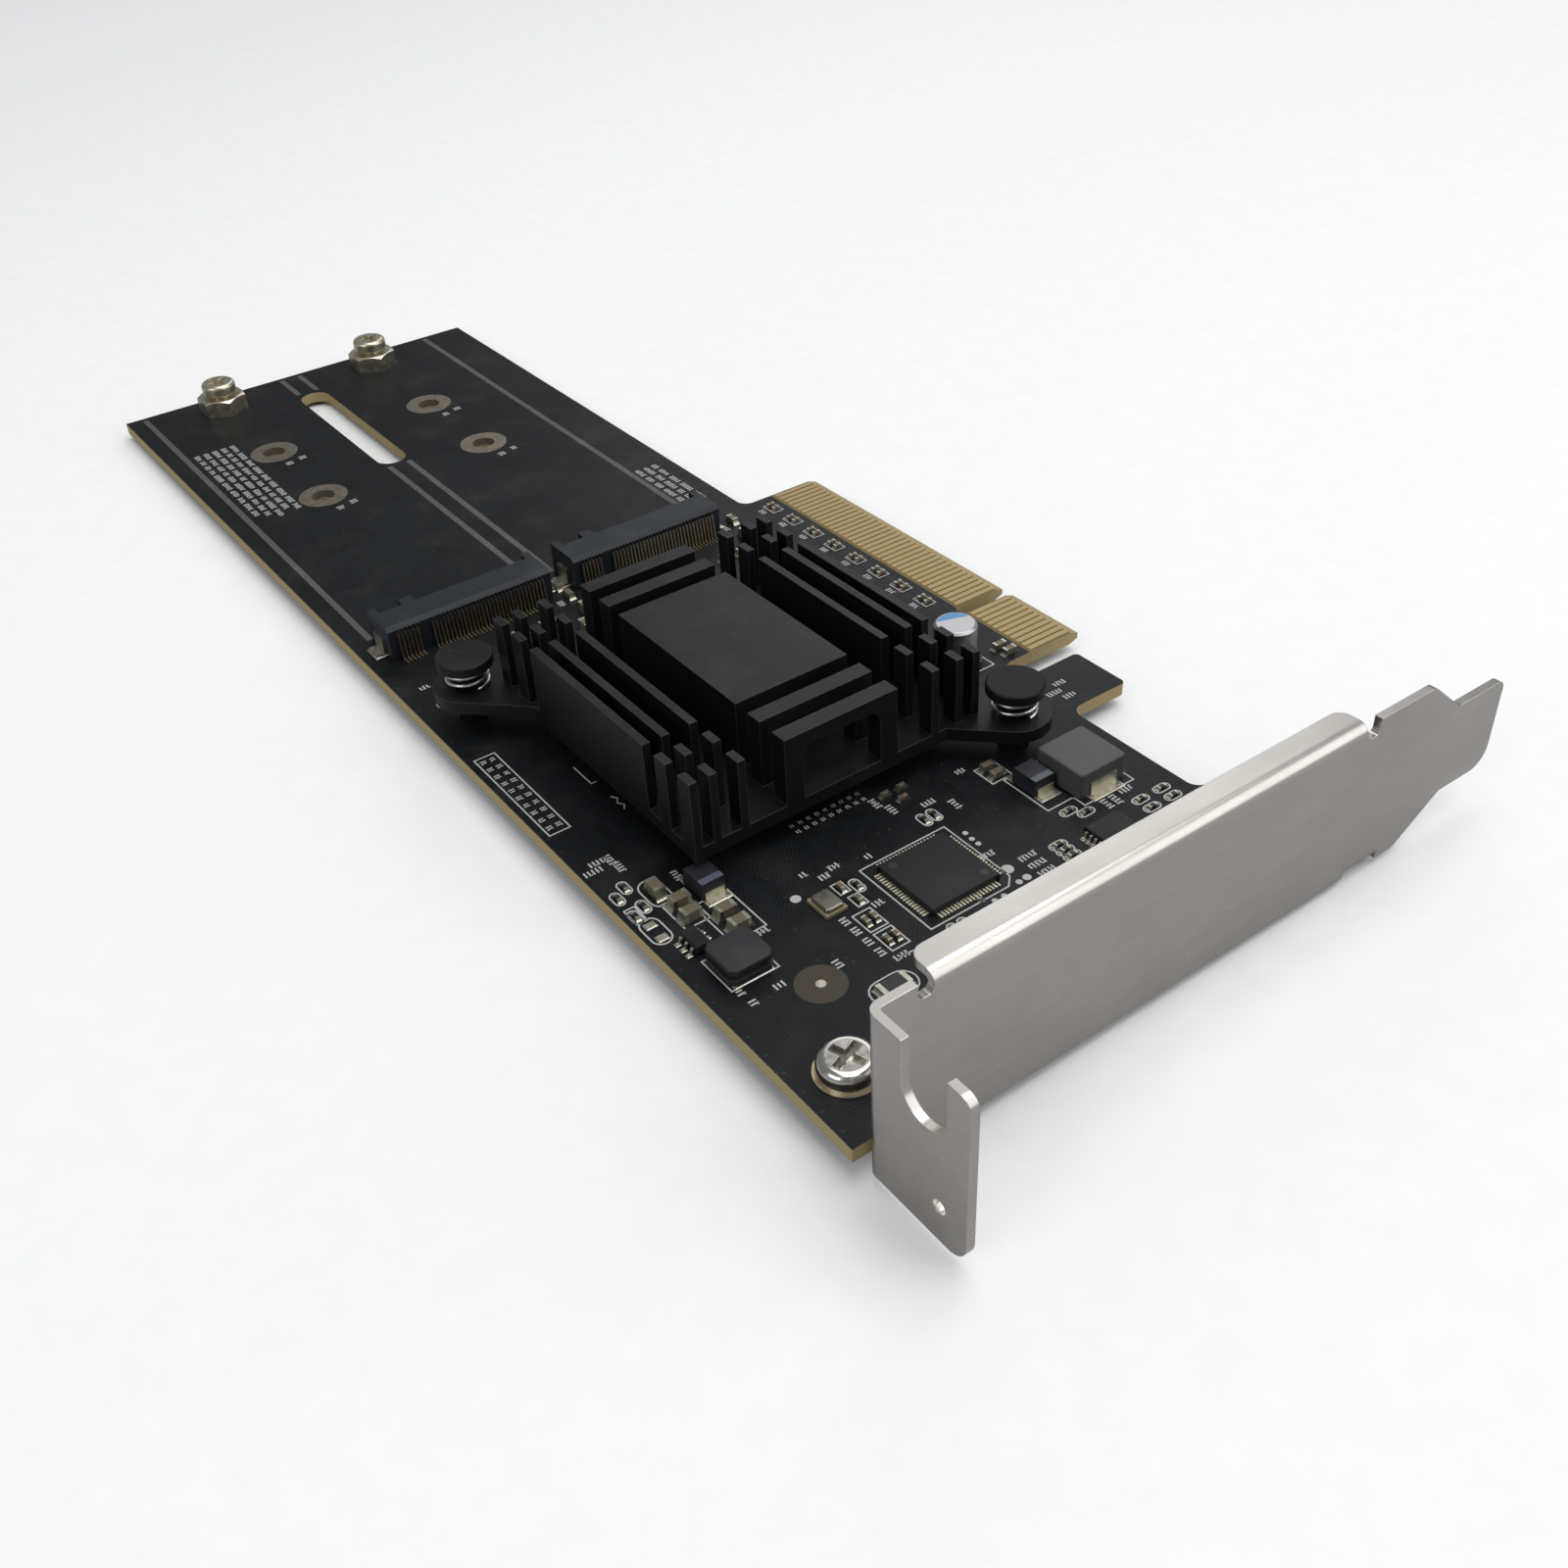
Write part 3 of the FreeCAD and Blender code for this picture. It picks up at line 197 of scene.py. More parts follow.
# the edge amount and the edge tone paint a highlight along the rounded edges
plainLook = {"metal": 0.0, "grain": 0.35, "stretch": 1.0, "bump": 0.1, "round": 0.06,
             "edgeTone": (0.5, 0.5, 0.5), "edge": 0.0, "dust": 0.25, "ior": 1.5}
dustLook = {"tone": (0.45, 0.43, 0.40), "rougher": 0.3}


def beginMaterial(name):
    material = bpy.data.materials.new(name)
    material.use_nodes = True
    tree = material.node_tree
    return material, tree, tree.nodes["Principled BSDF"]


def makeFinish(name, **look):
    # colour and shade are the light and dark of the mottling; rough is its low and high; sizes in mm;
    # a round of 0 leaves the edges as they are
    look = {**plainLook, **look}
    material, tree, shader = beginMaterial(name)
    grain = useGroup(tree, fineGrain, Size=look["grain"] * mm, Stretch=look["stretch"])
    dust = useGroup(tree, settledDust, Amount=look["dust"])
    colour = tint(tree, grain.outputs["Tone"], look["shade"], look["colour"])
    rough = spread(tree, grain.outputs["Tone"], 0, 1, *look["rough"])
    rough = calc(tree, "ADD", rough, calc(tree, "MULTIPLY", dust.outputs["Dust"], dustLook["rougher"]), True)
    tree.links.new(rough, shader.inputs["Roughness"])
    bump = addNode(tree, "Bump", Strength=look["bump"], Distance=0.00004)
    tree.links.new(grain.outputs["Height"], bump.inputs["Height"])
    if look["round"]:
        edges = useGroup(tree, softEdges, Radius=look["round"] * mm)
        tree.links.new(edges.outputs["Normal"], bump.inputs["Normal"])
        # painted highlight: the hard edges are tinted towards a lighter edge tone
        edgeHighlightMask = calc(tree, "MULTIPLY", edges.outputs["Edge"], look["edge"], True)
        colour = tint(tree, edgeHighlightMask, colour, look["edgeTone"])
    tree.links.new(tint(tree, dust.outputs["Dust"], colour, dustLook["tone"]), shader.inputs["Base Color"])
    tree.links.new(bump.outputs[0], shader.inputs["Normal"])
    shader.inputs["Metallic"].default_value = look["metal"]
    shader.inputs["IOR"].default_value = look["ior"]
    return material


boardLook = {
    "mask": (0.0042, 0.0048, 0.0055),
    "maskOverCopper": (0.0078, 0.0088, 0.0098),
    "maskCloud": (0.009, 0.0105, 0.013),
    "maskDust": (0.22, 0.21, 0.20),
    "laminate": (0.20, 0.145, 0.055),
    "cutEdge": (0.36, 0.28, 0.14),
    "cutEdgeDark": (0.22, 0.165, 0.075),
    "cutFibre": (0.44, 0.36, 0.21),
    # painted shade for the walls of the standoff holes
    "barrelShade": (0.10, 0.085, 0.065),
    "barrelReach": 1.9,
    "rough": (0.34, 0.46),
    "ior": 1.30,
    "traceSpacing": 0.42,
    "bareTongue": 7.65,
    "tongueEnd": 13.5,
    "round": 0.07,
    "bump": 0.35,
}


def makeBoardMaterial():
    look = boardLook
    material, tree, shader = beginMaterial("solderMask")
    place = addNode(tree, "TexCoord")
    spot = addNode(tree, "SeparateXYZ")
    tree.links.new(place.outputs["Object"], spot.inputs[0])
    facing = addNode(tree, "SeparateXYZ")
    tree.links.new(place.outputs["Normal"], facing.inputs[0])
    side = spread(tree, calc(tree, "ABSOLUTE", facing.outputs["Z"]), 0.99, 0.97)

    # copper runs under the mask: patches of parallel lines along X, along Y or slanted
    period = look["traceSpacing"] * mm
    slant = calc(tree, "MULTIPLY", calc(tree, "ADD", spot.outputs["X"], spot.outputs["Y"]), 0.7071)
    patches = addNode(tree, "TexVoronoi", distance="CHEBYCHEV", Scale=95.0)
    tree.links.new(place.outputs["Object"], patches.inputs["Vector"])
    pick = addNode(tree, "SeparateColor")
    tree.links.new(patches.outputs["Color"], pick.inputs[0])
    alongX = calc(tree, "GREATER_THAN", pick.outputs[0], 0.66)
    alongY = calc(tree, "LESS_THAN", pick.outputs[0], 0.33)
    across = calc(tree, "ADD", calc(tree, "MULTIPLY", spot.outputs["Y"], alongX),
                  calc(tree, "MULTIPLY", spot.outputs["X"], alongY))
    rest = calc(tree, "SUBTRACT", 1.0, calc(tree, "ADD", alongX, alongY))
    across = calc(tree, "ADD", across, calc(tree, "MULTIPLY", slant, rest))
    ripple = calc(tree, "PINGPONG", across, period / 2)
    runs = spread(tree, ripple, period * 0.2, period * 0.28)
    drawn = calc(tree, "GREATER_THAN", pick.outputs[1], 0.45)
    copper = calc(tree, "MULTIPLY", runs, drawn)

    grain = useGroup(tree, fineGrain, Size=0.0011, Detail=6.0)
    weave = useGroup(tree, fineGrain, Size=0.00018, Stretch=0.35)
    layers = addNode(tree, "TexWave", wave_type="BANDS", bands_direction="Z", Scale=2600.0, Distortion=1.5)
    tree.links.new(place.outputs["Object"], layers.inputs["Vector"])
    dust = useGroup(tree, settledDust, Amount=0.2)
    edges = useGroup(tree, softEdges, Radius=look["round"] * mm)

    mask = tint(tree, copper, look["mask"], look["maskOverCopper"])
    mask = tint(tree, calc(tree, "MULTIPLY", grain.outputs["Tone"], 0.35), mask, look["maskCloud"])
    mask = tint(tree, dust.outputs["Dust"], mask, look["maskDust"])
    bare = calc(tree, "GREATER_THAN", spot.outputs["Y"], -look["bareTongue"] * mm)
    onTongue = calc(tree, "LESS_THAN", spot.outputs["X"], look["tongueEnd"] * mm)
    bare = calc(tree, "MULTIPLY", bare, onTongue)
    fibre = tint(tree, weave.outputs["Tone"], look["laminate"], [c * 0.72 for c in look["laminate"]])
    cut = tint(tree, calc(tree, "MULTIPLY", layers.outputs["Fac"], 0.7), look["cutEdge"], look["cutEdgeDark"])
    cut = tint(tree, calc(tree, "MULTIPLY", weave.outputs["Tone"], 0.35), cut, look["cutFibre"])
    # painted shade inside the standoff holes: their walls are coloured dark
    for low, high in solidsIn("standoff_rings"):
        reach = addNode(tree, "VectorMath", operation="DISTANCE")
        tree.links.new(place.outputs["Object"], reach.inputs[0])
        reach.inputs[1].default_value = ((low.x + high.x) / 2, (low.y + high.y) / 2, 0)
        shadedBarrel = calc(tree, "LESS_THAN", reach.outputs["Value"], look["barrelReach"] * mm)
        cut = tint(tree, shadedBarrel, cut, look["barrelShade"])
    colour = tint(tree, bare, mask, fibre)
    colour = tint(tree, side, colour, cut)
    tree.links.new(colour, shader.inputs["Base Color"])

    rough = spread(tree, grain.outputs["Tone"], 0, 1, *look["rough"])
    matt = calc(tree, "MAXIMUM", side, calc(tree, "MULTIPLY", bare, 0.6))
    rough = calc(tree, "ADD", rough, calc(tree, "MULTIPLY", matt, 0.3))
    rough = calc(tree, "ADD", rough, calc(tree, "MULTIPLY", dust.outputs["Dust"], dustLook["rougher"]), True)
    tree.links.new(rough, shader.inputs["Roughness"])
    shader.inputs["IOR"].default_value = look["ior"]
    height = calc(tree, "ADD", calc(tree, "MULTIPLY", copper, 0.6),
                  calc(tree, "MULTIPLY", grain.outputs["Height"], 0.25))
    bump = addNode(tree, "Bump", Strength=look["bump"], Distance=0.00003)
    tree.links.new(height, bump.inputs["Height"])
    tree.links.new(edges.outputs["Normal"], bump.inputs["Normal"])
    tree.links.new(bump.outputs[0], shader.inputs["Normal"])
    return material


sheetLook = {"bright": (0.76, 0.73, 0.69), "dull": (0.64, 0.61, 0.57), "rough": (0.25, 0.34), "marks": 0.08,
             "edgeTone": (0.93, 0.92, 0.90), "edge": 0.7, "round": 0.09, "bump": 0.003, "dust": 0.02}


def makeSheetMaterial():
    # plated sheet steel: faint rolling marks along the bracket, and a painted highlight that makes the edges
    # brighter
    look = sheetLook
    material, tree, shader = beginMaterial("platedSheet")
    rolled = useGroup(tree, fineGrain, Size=0.0009, Stretch=look["marks"])
    cloudy = useGroup(tree, fineGrain, Size=0.011, Detail=3.0)
    edges = useGroup(tree, softEdges, Radius=look["round"] * mm)
    dust = useGroup(tree, settledDust, Amount=look["dust"])
    tone = calc(tree, "ADD", calc(tree, "MULTIPLY", rolled.outputs["Tone"], 0.4),
                calc(tree, "MULTIPLY", cloudy.outputs["Tone"], 0.6))
    colour = tint(tree, tone, look["dull"], look["bright"])
    # painted highlight: the edges are tinted towards a near-white edge tone
    edgeHighlightMask = calc(tree, "MULTIPLY", edges.outputs["Edge"], look["edge"], True)
    colour = tint(tree, edgeHighlightMask, colour, look["edgeTone"])
    colour = tint(tree, dust.outputs["Dust"], colour, dustLook["tone"])
    tree.links.new(colour, shader.inputs["Base Color"])
    tree.links.new(spread(tree, tone, 0, 1, look["rough"][1], look["rough"][0]), shader.inputs["Roughness"])
    bump = addNode(tree, "Bump", Strength=look["bump"], Distance=0.00003)
    tree.links.new(rolled.outputs["Height"], bump.inputs["Height"])
    tree.links.new(edges.outputs["Normal"], bump.inputs["Normal"])
    tree.links.new(bump.outputs[0], shader.inputs["Normal"])
    shader.inputs["Metallic"].default_value = 1.0
    return material


# the edge tones below are painted highlights along each part's edges
tin = makeFinish("tinnedSolder", colour=(0.68, 0.65, 0.55), shade=(0.46, 0.43, 0.34), rough=(0.30, 0.46),
                 metal=1.0, grain=0.6, bump=0.1, round=0, dust=0.1)
leadFrame = makeFinish("leadFrame", colour=(0.76, 0.71, 0.57), shade=(0.64, 0.59, 0.45), rough=(0.45, 0.6),
                       metal=1.0, grain=0.5, bump=0.08, round=0, dust=0.05)
gold = makeFinish("goldPlate", colour=(0.48, 0.375, 0.195), shade=(0.40, 0.30, 0.145), rough=(0.34, 0.46),
                  metal=1.0, grain=0.9, stretch=0.2, bump=0.08, round=0, dust=0.12)
paleGold = makeFinish("flashedGold", colour=(0.66, 0.56, 0.36), shade=(0.50, 0.41, 0.25), rough=(0.3, 0.42),
                      metal=1.0, grain=0.5, bump=0.1, round=0, dust=0.1)
contactGold = makeFinish("contactGold", colour=(0.33, 0.28, 0.18), shade=(0.20, 0.165, 0.10),
                         rough=(0.35, 0.5), metal=1.0, grain=0.4, bump=0.1, round=0, dust=0.1)
nickel = makeFinish("brightNickel", colour=(0.80, 0.78, 0.73), shade=(0.68, 0.65, 0.60), rough=(0.16, 0.28),
                    metal=1.0, grain=0.9, bump=0.06, round=0.1, edge=0.3, edgeTone=(0.92, 0.91, 0.88),
                    dust=0.15)
wornNickel = makeFinish("postNickel", colour=(0.82, 0.77, 0.63), shade=(0.64, 0.58, 0.44), rough=(0.26, 0.4),
                        metal=1.0, grain=0.9, bump=0.08, round=0.1, edge=0.3, edgeTone=(0.9, 0.88, 0.82),
                        dust=0.2)
ringMetal = makeFinish("ringTin", colour=(0.43, 0.385, 0.30), shade=(0.33, 0.285, 0.215), rough=(0.34, 0.48),
                       metal=1.0, grain=0.7, bump=0.1, round=0, dust=0.3)
anodised = makeFinish("blackAnodised", colour=(0.0075, 0.0075, 0.008), shade=(0.005, 0.005, 0.0055),
                      rough=(0.32, 0.44), grain=0.3, bump=0.08, round=0.09, edge=0.85,
                      edgeTone=(0.10, 0.10, 0.105), dust=0.1, ior=1.35)
epoxy = makeFinish("mouldedEpoxy", colour=(0.011, 0.011, 0.012), shade=(0.008, 0.008, 0.009),
                   rough=(0.42, 0.55), grain=0.2, bump=0.15, round=0.05, edge=0.4,
                   edgeTone=(0.04, 0.04, 0.043), dust=0.12, ior=1.38)
silicone = makeFinish("softPad", colour=(0.42, 0.44, 0.46), shade=(0.34, 0.36, 0.38), rough=(0.6, 0.75),
                      grain=0.2, bump=0.4, round=0)
nylon = makeFinish("blackNylon", colour=(0.009, 0.009, 0.010), shade=(0.006, 0.006, 0.007),
                   rough=(0.40, 0.50), grain=1.5, bump=0.04, round=0.12, edge=0.4,
                   edgeTone=(0.035, 0.035, 0.037), dust=0.1, ior=1.28)
springWire = makeFinish("springWire", colour=(0.82, 0.81, 0.78), shade=(0.72, 0.71, 0.68), rough=(0.25, 0.35),
                        metal=1.0, grain=0.6, bump=0.05, round=0, dust=0.05)
socketPlastic = makeFinish("socketPlastic", colour=(0.012, 0.016, 0.023), shade=(0.008, 0.011, 0.016),
                           rough=(0.38, 0.5), grain=0.3, bump=0.12, round=0.07, edge=0.5,
                           edgeTone=(0.06, 0.072, 0.095), dust=0.15, ior=1.44)
firedBase = makeFinish("firedBase", colour=(0.30, 0.25, 0.15), shade=(0.22, 0.18, 0.10), rough=(0.35, 0.5),
                       grain=0.2, bump=0.1, round=0)
lidMetal = makeFinish("lidMetal", colour=(0.31, 0.30, 0.262), shade=(0.255, 0.245, 0.215), rough=(0.26, 0.36),
                      metal=1.0, grain=0.6, bump=0.06, round=0.08, edge=0.8, edgeTone=(0.95, 0.84, 0.56),
                      dust=0.1)
powderGrey = makeFinish("powderGrey", colour=(0.080, 0.080, 0.079), shade=(0.061, 0.061, 0.061),
                        rough=(0.5, 0.65), grain=0.25, bump=0.25, round=0.15, edge=0.35,
                        edgeTone=(0.22, 0.22, 0.22), dust=0.12)
ferriteGrey = makeFinish("ferriteGrey", colour=(0.026, 0.027, 0.029), shade=(0.018, 0.019, 0.021),
                         rough=(0.36, 0.5), grain=0.2, bump=0.2, round=0.08, edge=0.4,
                         edgeTone=(0.10, 0.10, 0.104), dust=0.15, ior=1.40)
canMetal = makeFinish("canAluminium", colour=(0.62, 0.63, 0.64), shade=(0.54, 0.55, 0.57), rough=(0.36, 0.46),
                      metal=1.0, grain=0.6, stretch=0.3, bump=0.05, round=0.12, edge=0.3,
                      edgeTone=(0.92, 0.92, 0.92), dust=0.1)
basePlastic = makeFinish("footPlastic", colour=(0.018, 0.018, 0.020), shade=(0.012, 0.012, 0.013),
                         rough=(0.4, 0.55), grain=0.3, bump=0.1, round=0)
firedBrown = makeFinish("firedBrown", colour=(0.145, 0.120, 0.075), shade=(0.110, 0.089, 0.054),
                        rough=(0.34, 0.48), grain=0.2, bump=0.1, round=0.06, edge=0.3,
                        edgeTone=(0.34, 0.29, 0.21), dust=0.1)
blackGlaze = makeFinish("blackGlaze", colour=(0.018, 0.018, 0.020), shade=(0.012, 0.012, 0.013),
                        rough=(0.3, 0.45), grain=0.2, bump=0.1, round=0, dust=0.15)
caseBlack = makeFinish("caseBlack", colour=(0.018, 0.020, 0.026), shade=(0.013, 0.014, 0.019),
                       rough=(0.4, 0.52), grain=0.2, bump=0.15, round=0.08, edge=0.4,
                       edgeTone=(0.06, 0.064, 0.08), dust=0.2)
solderMask = makeBoardMaterial()
platedSheet = makeSheetMaterial()

# extra finishes that only this script's own pieces use
ink = makeFinish("whiteInk", colour=(0.48, 0.48, 0.455), shade=(0.38, 0.38, 0.36), rough=(0.5, 0.65),
                 grain=0.2, bump=0.1, round=0)
laneInk = makeFinish("laneInk", colour=(0.080, 0.083, 0.080), shade=(0.062, 0.065, 0.062), rough=(0.5, 0.6),
                     grain=0.5, bump=0.1, round=0)
stripeInk = makeFinish("stripeInk", colour=(0.10, 0.118, 0.16), shade=(0.073, 0.086, 0.12), rough=(0.4, 0.5),
                       grain=0.2, bump=0.1, round=0, dust=0.1)
blueInk = makeFinish("blueInk", colour=(0.10, 0.30, 0.55), shade=(0.07, 0.24, 0.46), rough=(0.35, 0.5),
                     grain=0.4, bump=0.05, round=0, dust=0.05)
bareLaminate = makeFinish("bareLaminate", colour=(0.047, 0.036, 0.018), shade=(0.035, 0.026, 0.013),
                          rough=(0.45, 0.6), grain=0.4, bump=0.2, round=0, dust=0.15)
viaDark = makeFinish("viaDark", colour=(0.004, 0.004, 0.004), shade=(0.003, 0.003, 0.003), rough=(0.5, 0.6),
                     grain=0.3, bump=0.05, round=0, dust=0.0)

nodeFinish = {
    "circuit_board": solderMask, "edge_contacts": gold, "bracket": platedSheet, "bracket_screws": nickel,
    "screw_pads": paleGold, "standoff_rings": ringMetal, "standoff_screws": wornNickel,
    "heatsink": anodised, "switch_chip": epoxy, "thermal_pad": silicone, "push_pins": nylon,
    "push_pin_springs": springWire, "controller_chip": epoxy, "controller_pads": leadFrame,
    "crystal_base": firedBase, "crystal_lid": lidMetal, "large_inductor": powderGrey,
    "large_inductor_terminals": tin, "small_inductor": ferriteGrey, "small_inductor_terminals": tin,
    "polymer_capacitor_terminals": tin, "regulator": epoxy, "regulator_leads": tin, "memory_chip": epoxy,
    "memory_chip_leads": tin, "electrolytic_base": basePlastic, "electrolytic_can": canMetal,
    "electrolytic_leads": tin, "ceramic_capacitors": firedBrown, "ceramic_capacitor_ends": tin,
    "chip_resistors": blackGlaze, "chip_resistor_ends": tin, "polymer_capacitor_a": caseBlack,
    "polymer_capacitor_b": caseBlack,
}
for bay in bays:
    nodeFinish["standoff_" + bay] = wornNickel
    nodeFinish["socket_" + bay + "_housing"] = socketPlastic
    nodeFinish["socket_" + bay + "_contacts"] = contactGold
    nodeFinish["socket_" + bay + "_clips"] = tin

for nodeName, finish in nodeFinish.items():
    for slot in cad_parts[nodeName].material_slots:
        slot.material = finish
print("finishes set on", len(nodeFinish), "nodes")


def makePiece(name, work, finish, smooth=False):
    mesh = bpy.data.meshes.new(name)
    bmesh.ops.recalc_face_normals(work, faces=work.faces)
    work.to_mesh(mesh)
    work.free()
    piece = bpy.data.objects.new(name, mesh)
    bpy.context.collection.objects.link(piece)
    mesh.materials.append(finish)
    if smooth:
        mesh.shade_smooth()
        mesh.set_sharp_from_angle(angle=math.radians(35))
    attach(piece, "root")
    return piece


def addPrism(work, outline, bottom, top):
    # upright solid on a closed outline of (x, y) in metres
    lower = [work.verts.new((x, y, bottom)) for x, y in outline]
    upper = [work.verts.new((x, y, top)) for x, y in outline]
    count = len(outline)
    work.faces.new(lower[::-1])
    work.faces.new(upper)
    for i in range(count):
        work.faces.new((lower[i], lower[(i + 1) % count], upper[(i + 1) % count], upper[i]))


def addBlock(work, low, high):
    outline = [(low[0], low[1]), (high[0], low[1]), (high[0], high[1]), (low[0], high[1])]
    addPrism(work, outline, low[2], high[2])


def addDisc(work, centre, radius, bottom, top, steps=24):
    turns = [2 * math.pi * i / steps for i in range(steps)]
    outline = [(centre[0] + radius * math.cos(a), centre[1] + radius * math.sin(a)) for a in turns]
    addPrism(work, outline, bottom, top)


def addStroke(work, points, width, bottom, top, closed=False):
    # a flat line of one width through (x, y) points, mitred where it turns
    count = len(points)
    left, right = [], []
    for i, point in enumerate(points):
        before = Vector(points[i - 1]) if closed or i > 0 else None
        after = Vector(points[(i + 1) % count]) if closed or i < count - 1 else None
        here = Vector(point)
        ways = []
        if before is not None:
            ways.append((here - before).normalized())
        if after is not None:
            ways.append((after - here).normalized())
        way = sum(ways, Vector((0, 0))).normalized()
        across = Vector((-way.y, way.x)) * (width / 2 / max(0.3, way.dot(ways[0])))
        left.append(here + across)
        right.append(here - across)
    rows = [[work.verts.new((p.x, p.y, z)) for p in side] for side in (left, right) for z in (bottom, top)]
    leftLow, leftTop, rightLow, rightTop = rows
    for i in range(count if closed else count - 1):
        j = (i + 1) % count
        work.faces.new((leftTop[i], leftTop[j], rightTop[j], rightTop[i]))
        work.faces.new((leftLow[i], rightLow[i], rightLow[j], leftLow[j]))
        work.faces.new((leftLow[i], leftLow[j], leftTop[j], leftTop[i]))
        work.faces.new((rightLow[i], rightTop[i], rightTop[j], rightLow[j]))
    if not closed:
        for i in (0, count - 1):
            work.faces.new((leftLow[i], leftTop[i], rightTop[i], rightLow[i]))


def ovalPoints(centre, length, width, alongY=False, steps=8):
    # a slot shape: two half circles joined by straight sides
    radius = width / 2
    reach = length / 2 - radius
    points = []
    for end, start in ((1, -90), (-1, 90)):
        for i in range(steps + 1):
            angle = math.radians(start + 180 * i / steps)
            points.append((end * reach + radius * math.cos(angle), radius * math.sin(angle)))
    if alongY:
        points = [(-y, x) for x, y in points]
    return [(centre[0] + x, centre[1] + y) for x, y in points]


inkLook = {"height": 0.02, "line": 0.17, "charTall": 0.82, "charWide": 0.2, "charStep": 0.44, "laneLine": 0.8,
           "laneStart": 0.9, "laneGap": 0.4, "laneInset": 11.1, "slotInset": 26.4, "slotFar": -115.6,
           "slotNear": -82.6}
inkTop = inkLook["height"] * mm
inkMarks = bmesh.new()
rng = random.Random(7)


def inkLine(points, width=None, closed=False):
    line = inkLook["line"] if width is None else width
    addStroke(inkMarks, [tuple(at(x, inset).xy) for x, inset in points], line * mm, 0, inkTop, closed)


def inkFrame(x0, inset0, x1, inset1, width=None):
    inkLine([(x0, inset0), (x1, inset0), (x1, inset1), (x0, inset1)], width, True)


def inkOval(x, inset, length, width, alongY=False):
    addStroke(inkMarks, ovalPoints(at(x, inset).xy, length * mm, width * mm, alongY), inkLook["line"] * mm,
              0, inkTop, True)


def inkDot(x, inset, radius):
    addDisc(inkMarks, at(x, inset), radius * mm, 0, inkTop)


def inkLabel(x, inset, count, turn=0, size=1.0):
    # a row of plain upright bars stands in for each printed reference
    tall, wide, step = (inkLook[k] * size for k in ("charTall", "charWide", "charStep"))
    across = math.radians(turn)
    way = Vector((math.cos(across), math.sin(across)))
    up = Vector((-way.y, way.x))
    centre = Vector((x, inset))
    for i in range(count):
        middle = centre + way * (i - (count - 1) / 2) * step
        height = tall * rng.choice((1.0, 1.0, 0.78))
        ends = [middle - up * height / 2, middle + up * height / 2]
        inkLine([tuple(p) for p in ends], wide)
        if rng.random() < 0.55:
            foot = middle + up * rng.choice((-0.36, 0.0, 0.36)) * tall
            inkLine([tuple(foot), tuple(foot + way * step * 0.55)], wide * 0.9)


def inkLanes():
    # outline of each module bay, from its socket to the board's far end, broken by the slot between the bays
    farX = boardLow.x / mm + inkLook["laneStart"]
    work = bmesh.new()
    for bay in bays:
        low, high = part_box("socket_" + bay + "_housing")
        centre = ((low.y + high.y) / 2 - freeEdge) / mm
        for side in (-1, 1):
            inset = centre + side * inkLook["laneInset"]
            nearX = low.x / mm - inkLook["laneGap"]
            runs = [(farX, nearX)]
            if abs(inset - inkLook["slotInset"]) < 3:
                runs = [(farX, inkLook["slotFar"]), (inkLook["slotNear"], nearX)]
            for start, end in runs:
                addStroke(work, [at(start, inset).xy, at(end, inset).xy], inkLook["laneLine"] * mm, 0, inkTop)
    makePiece("lane_ink", work, laneInk)


def inkHoleNumbers():
    # short bars beside the module holes, one row for each length
    for low, high in solidsIn("standoff_rings"):
        if low.z < 0:
            continue
        x, inset = (low.x + high.x) / 2 / mm, ((low.y + high.y) / 2 - freeEdge) / mm
        inkLabel(x + 5.0, inset + 0.4, 2, 0, 1.3)
        inkLabel(x + 4.4, inset + 2.6, 2, 0, 1.3)


def inkTable():
    # framed revision grid beside the heatsink
    inkFrame(-10.3, 0.9, 6.2, 3.35)
    for i in range(10):
        x = -9.4 + i * 1.6
        for inset in (1.55, 2.65):
            inkLabel(x, inset, 2, 0, 0.85)


def inkTextBlock(x0, inset0, x1, rows, rowStep):
    for row in range(rows):
        x = x0
        while x < x1 - 2:
            count = rng.choice((3, 4, 5, 6))
            inkLabel(x + count * inkLook["charStep"] / 2, inset0 + row * rowStep, count)
            x += (count + 1.3) * inkLook["charStep"]


boardOutlines = [
    (31.25, 2.7, 36.2, 7.95), (24.35, 6.35, 30.9, 10.3), (22.3, 4.0, 26.7, 6.8), (25.2, 41.2, 28.15, 43.9),
    (28.4, 42.5, 35.0, 46.0), (28.4, 46.0, 36.7, 52.9), (35.1, 17.25, 37.9, 19.35),
    (38.3, 17.25, 41.1, 19.35), (30.35, 18.3, 32.0, 19.5), (32.7, 18.6, 34.4, 19.8),
    (20.8, 0.75, 23.2, 1.9), (5.2, 49.9, 11.4, 56.4)]
boardOvals = [
    (20.45, 4.6, 4.4, 2.4, False), (25.07, 1.65, 4.1, 2.1, False), (44.85, 14.4, 5.0, 3.0, True)]
boardDots = [
    (29.7, 14.6, 0.55), (32.4, 33.7, 0.3), (33.5, 33.6, 0.3), (34.45, 33.6, 0.3), (39.15, 33.2, 0.65),
    (41.2, 33.85, 0.45), (41.25, 32.8, 0.35), (41.85, 30.35, 0.32), (41.8, 29.2, 0.32), (42.95, 30.4, 0.32),
    (42.9, 26.3, 0.35)]
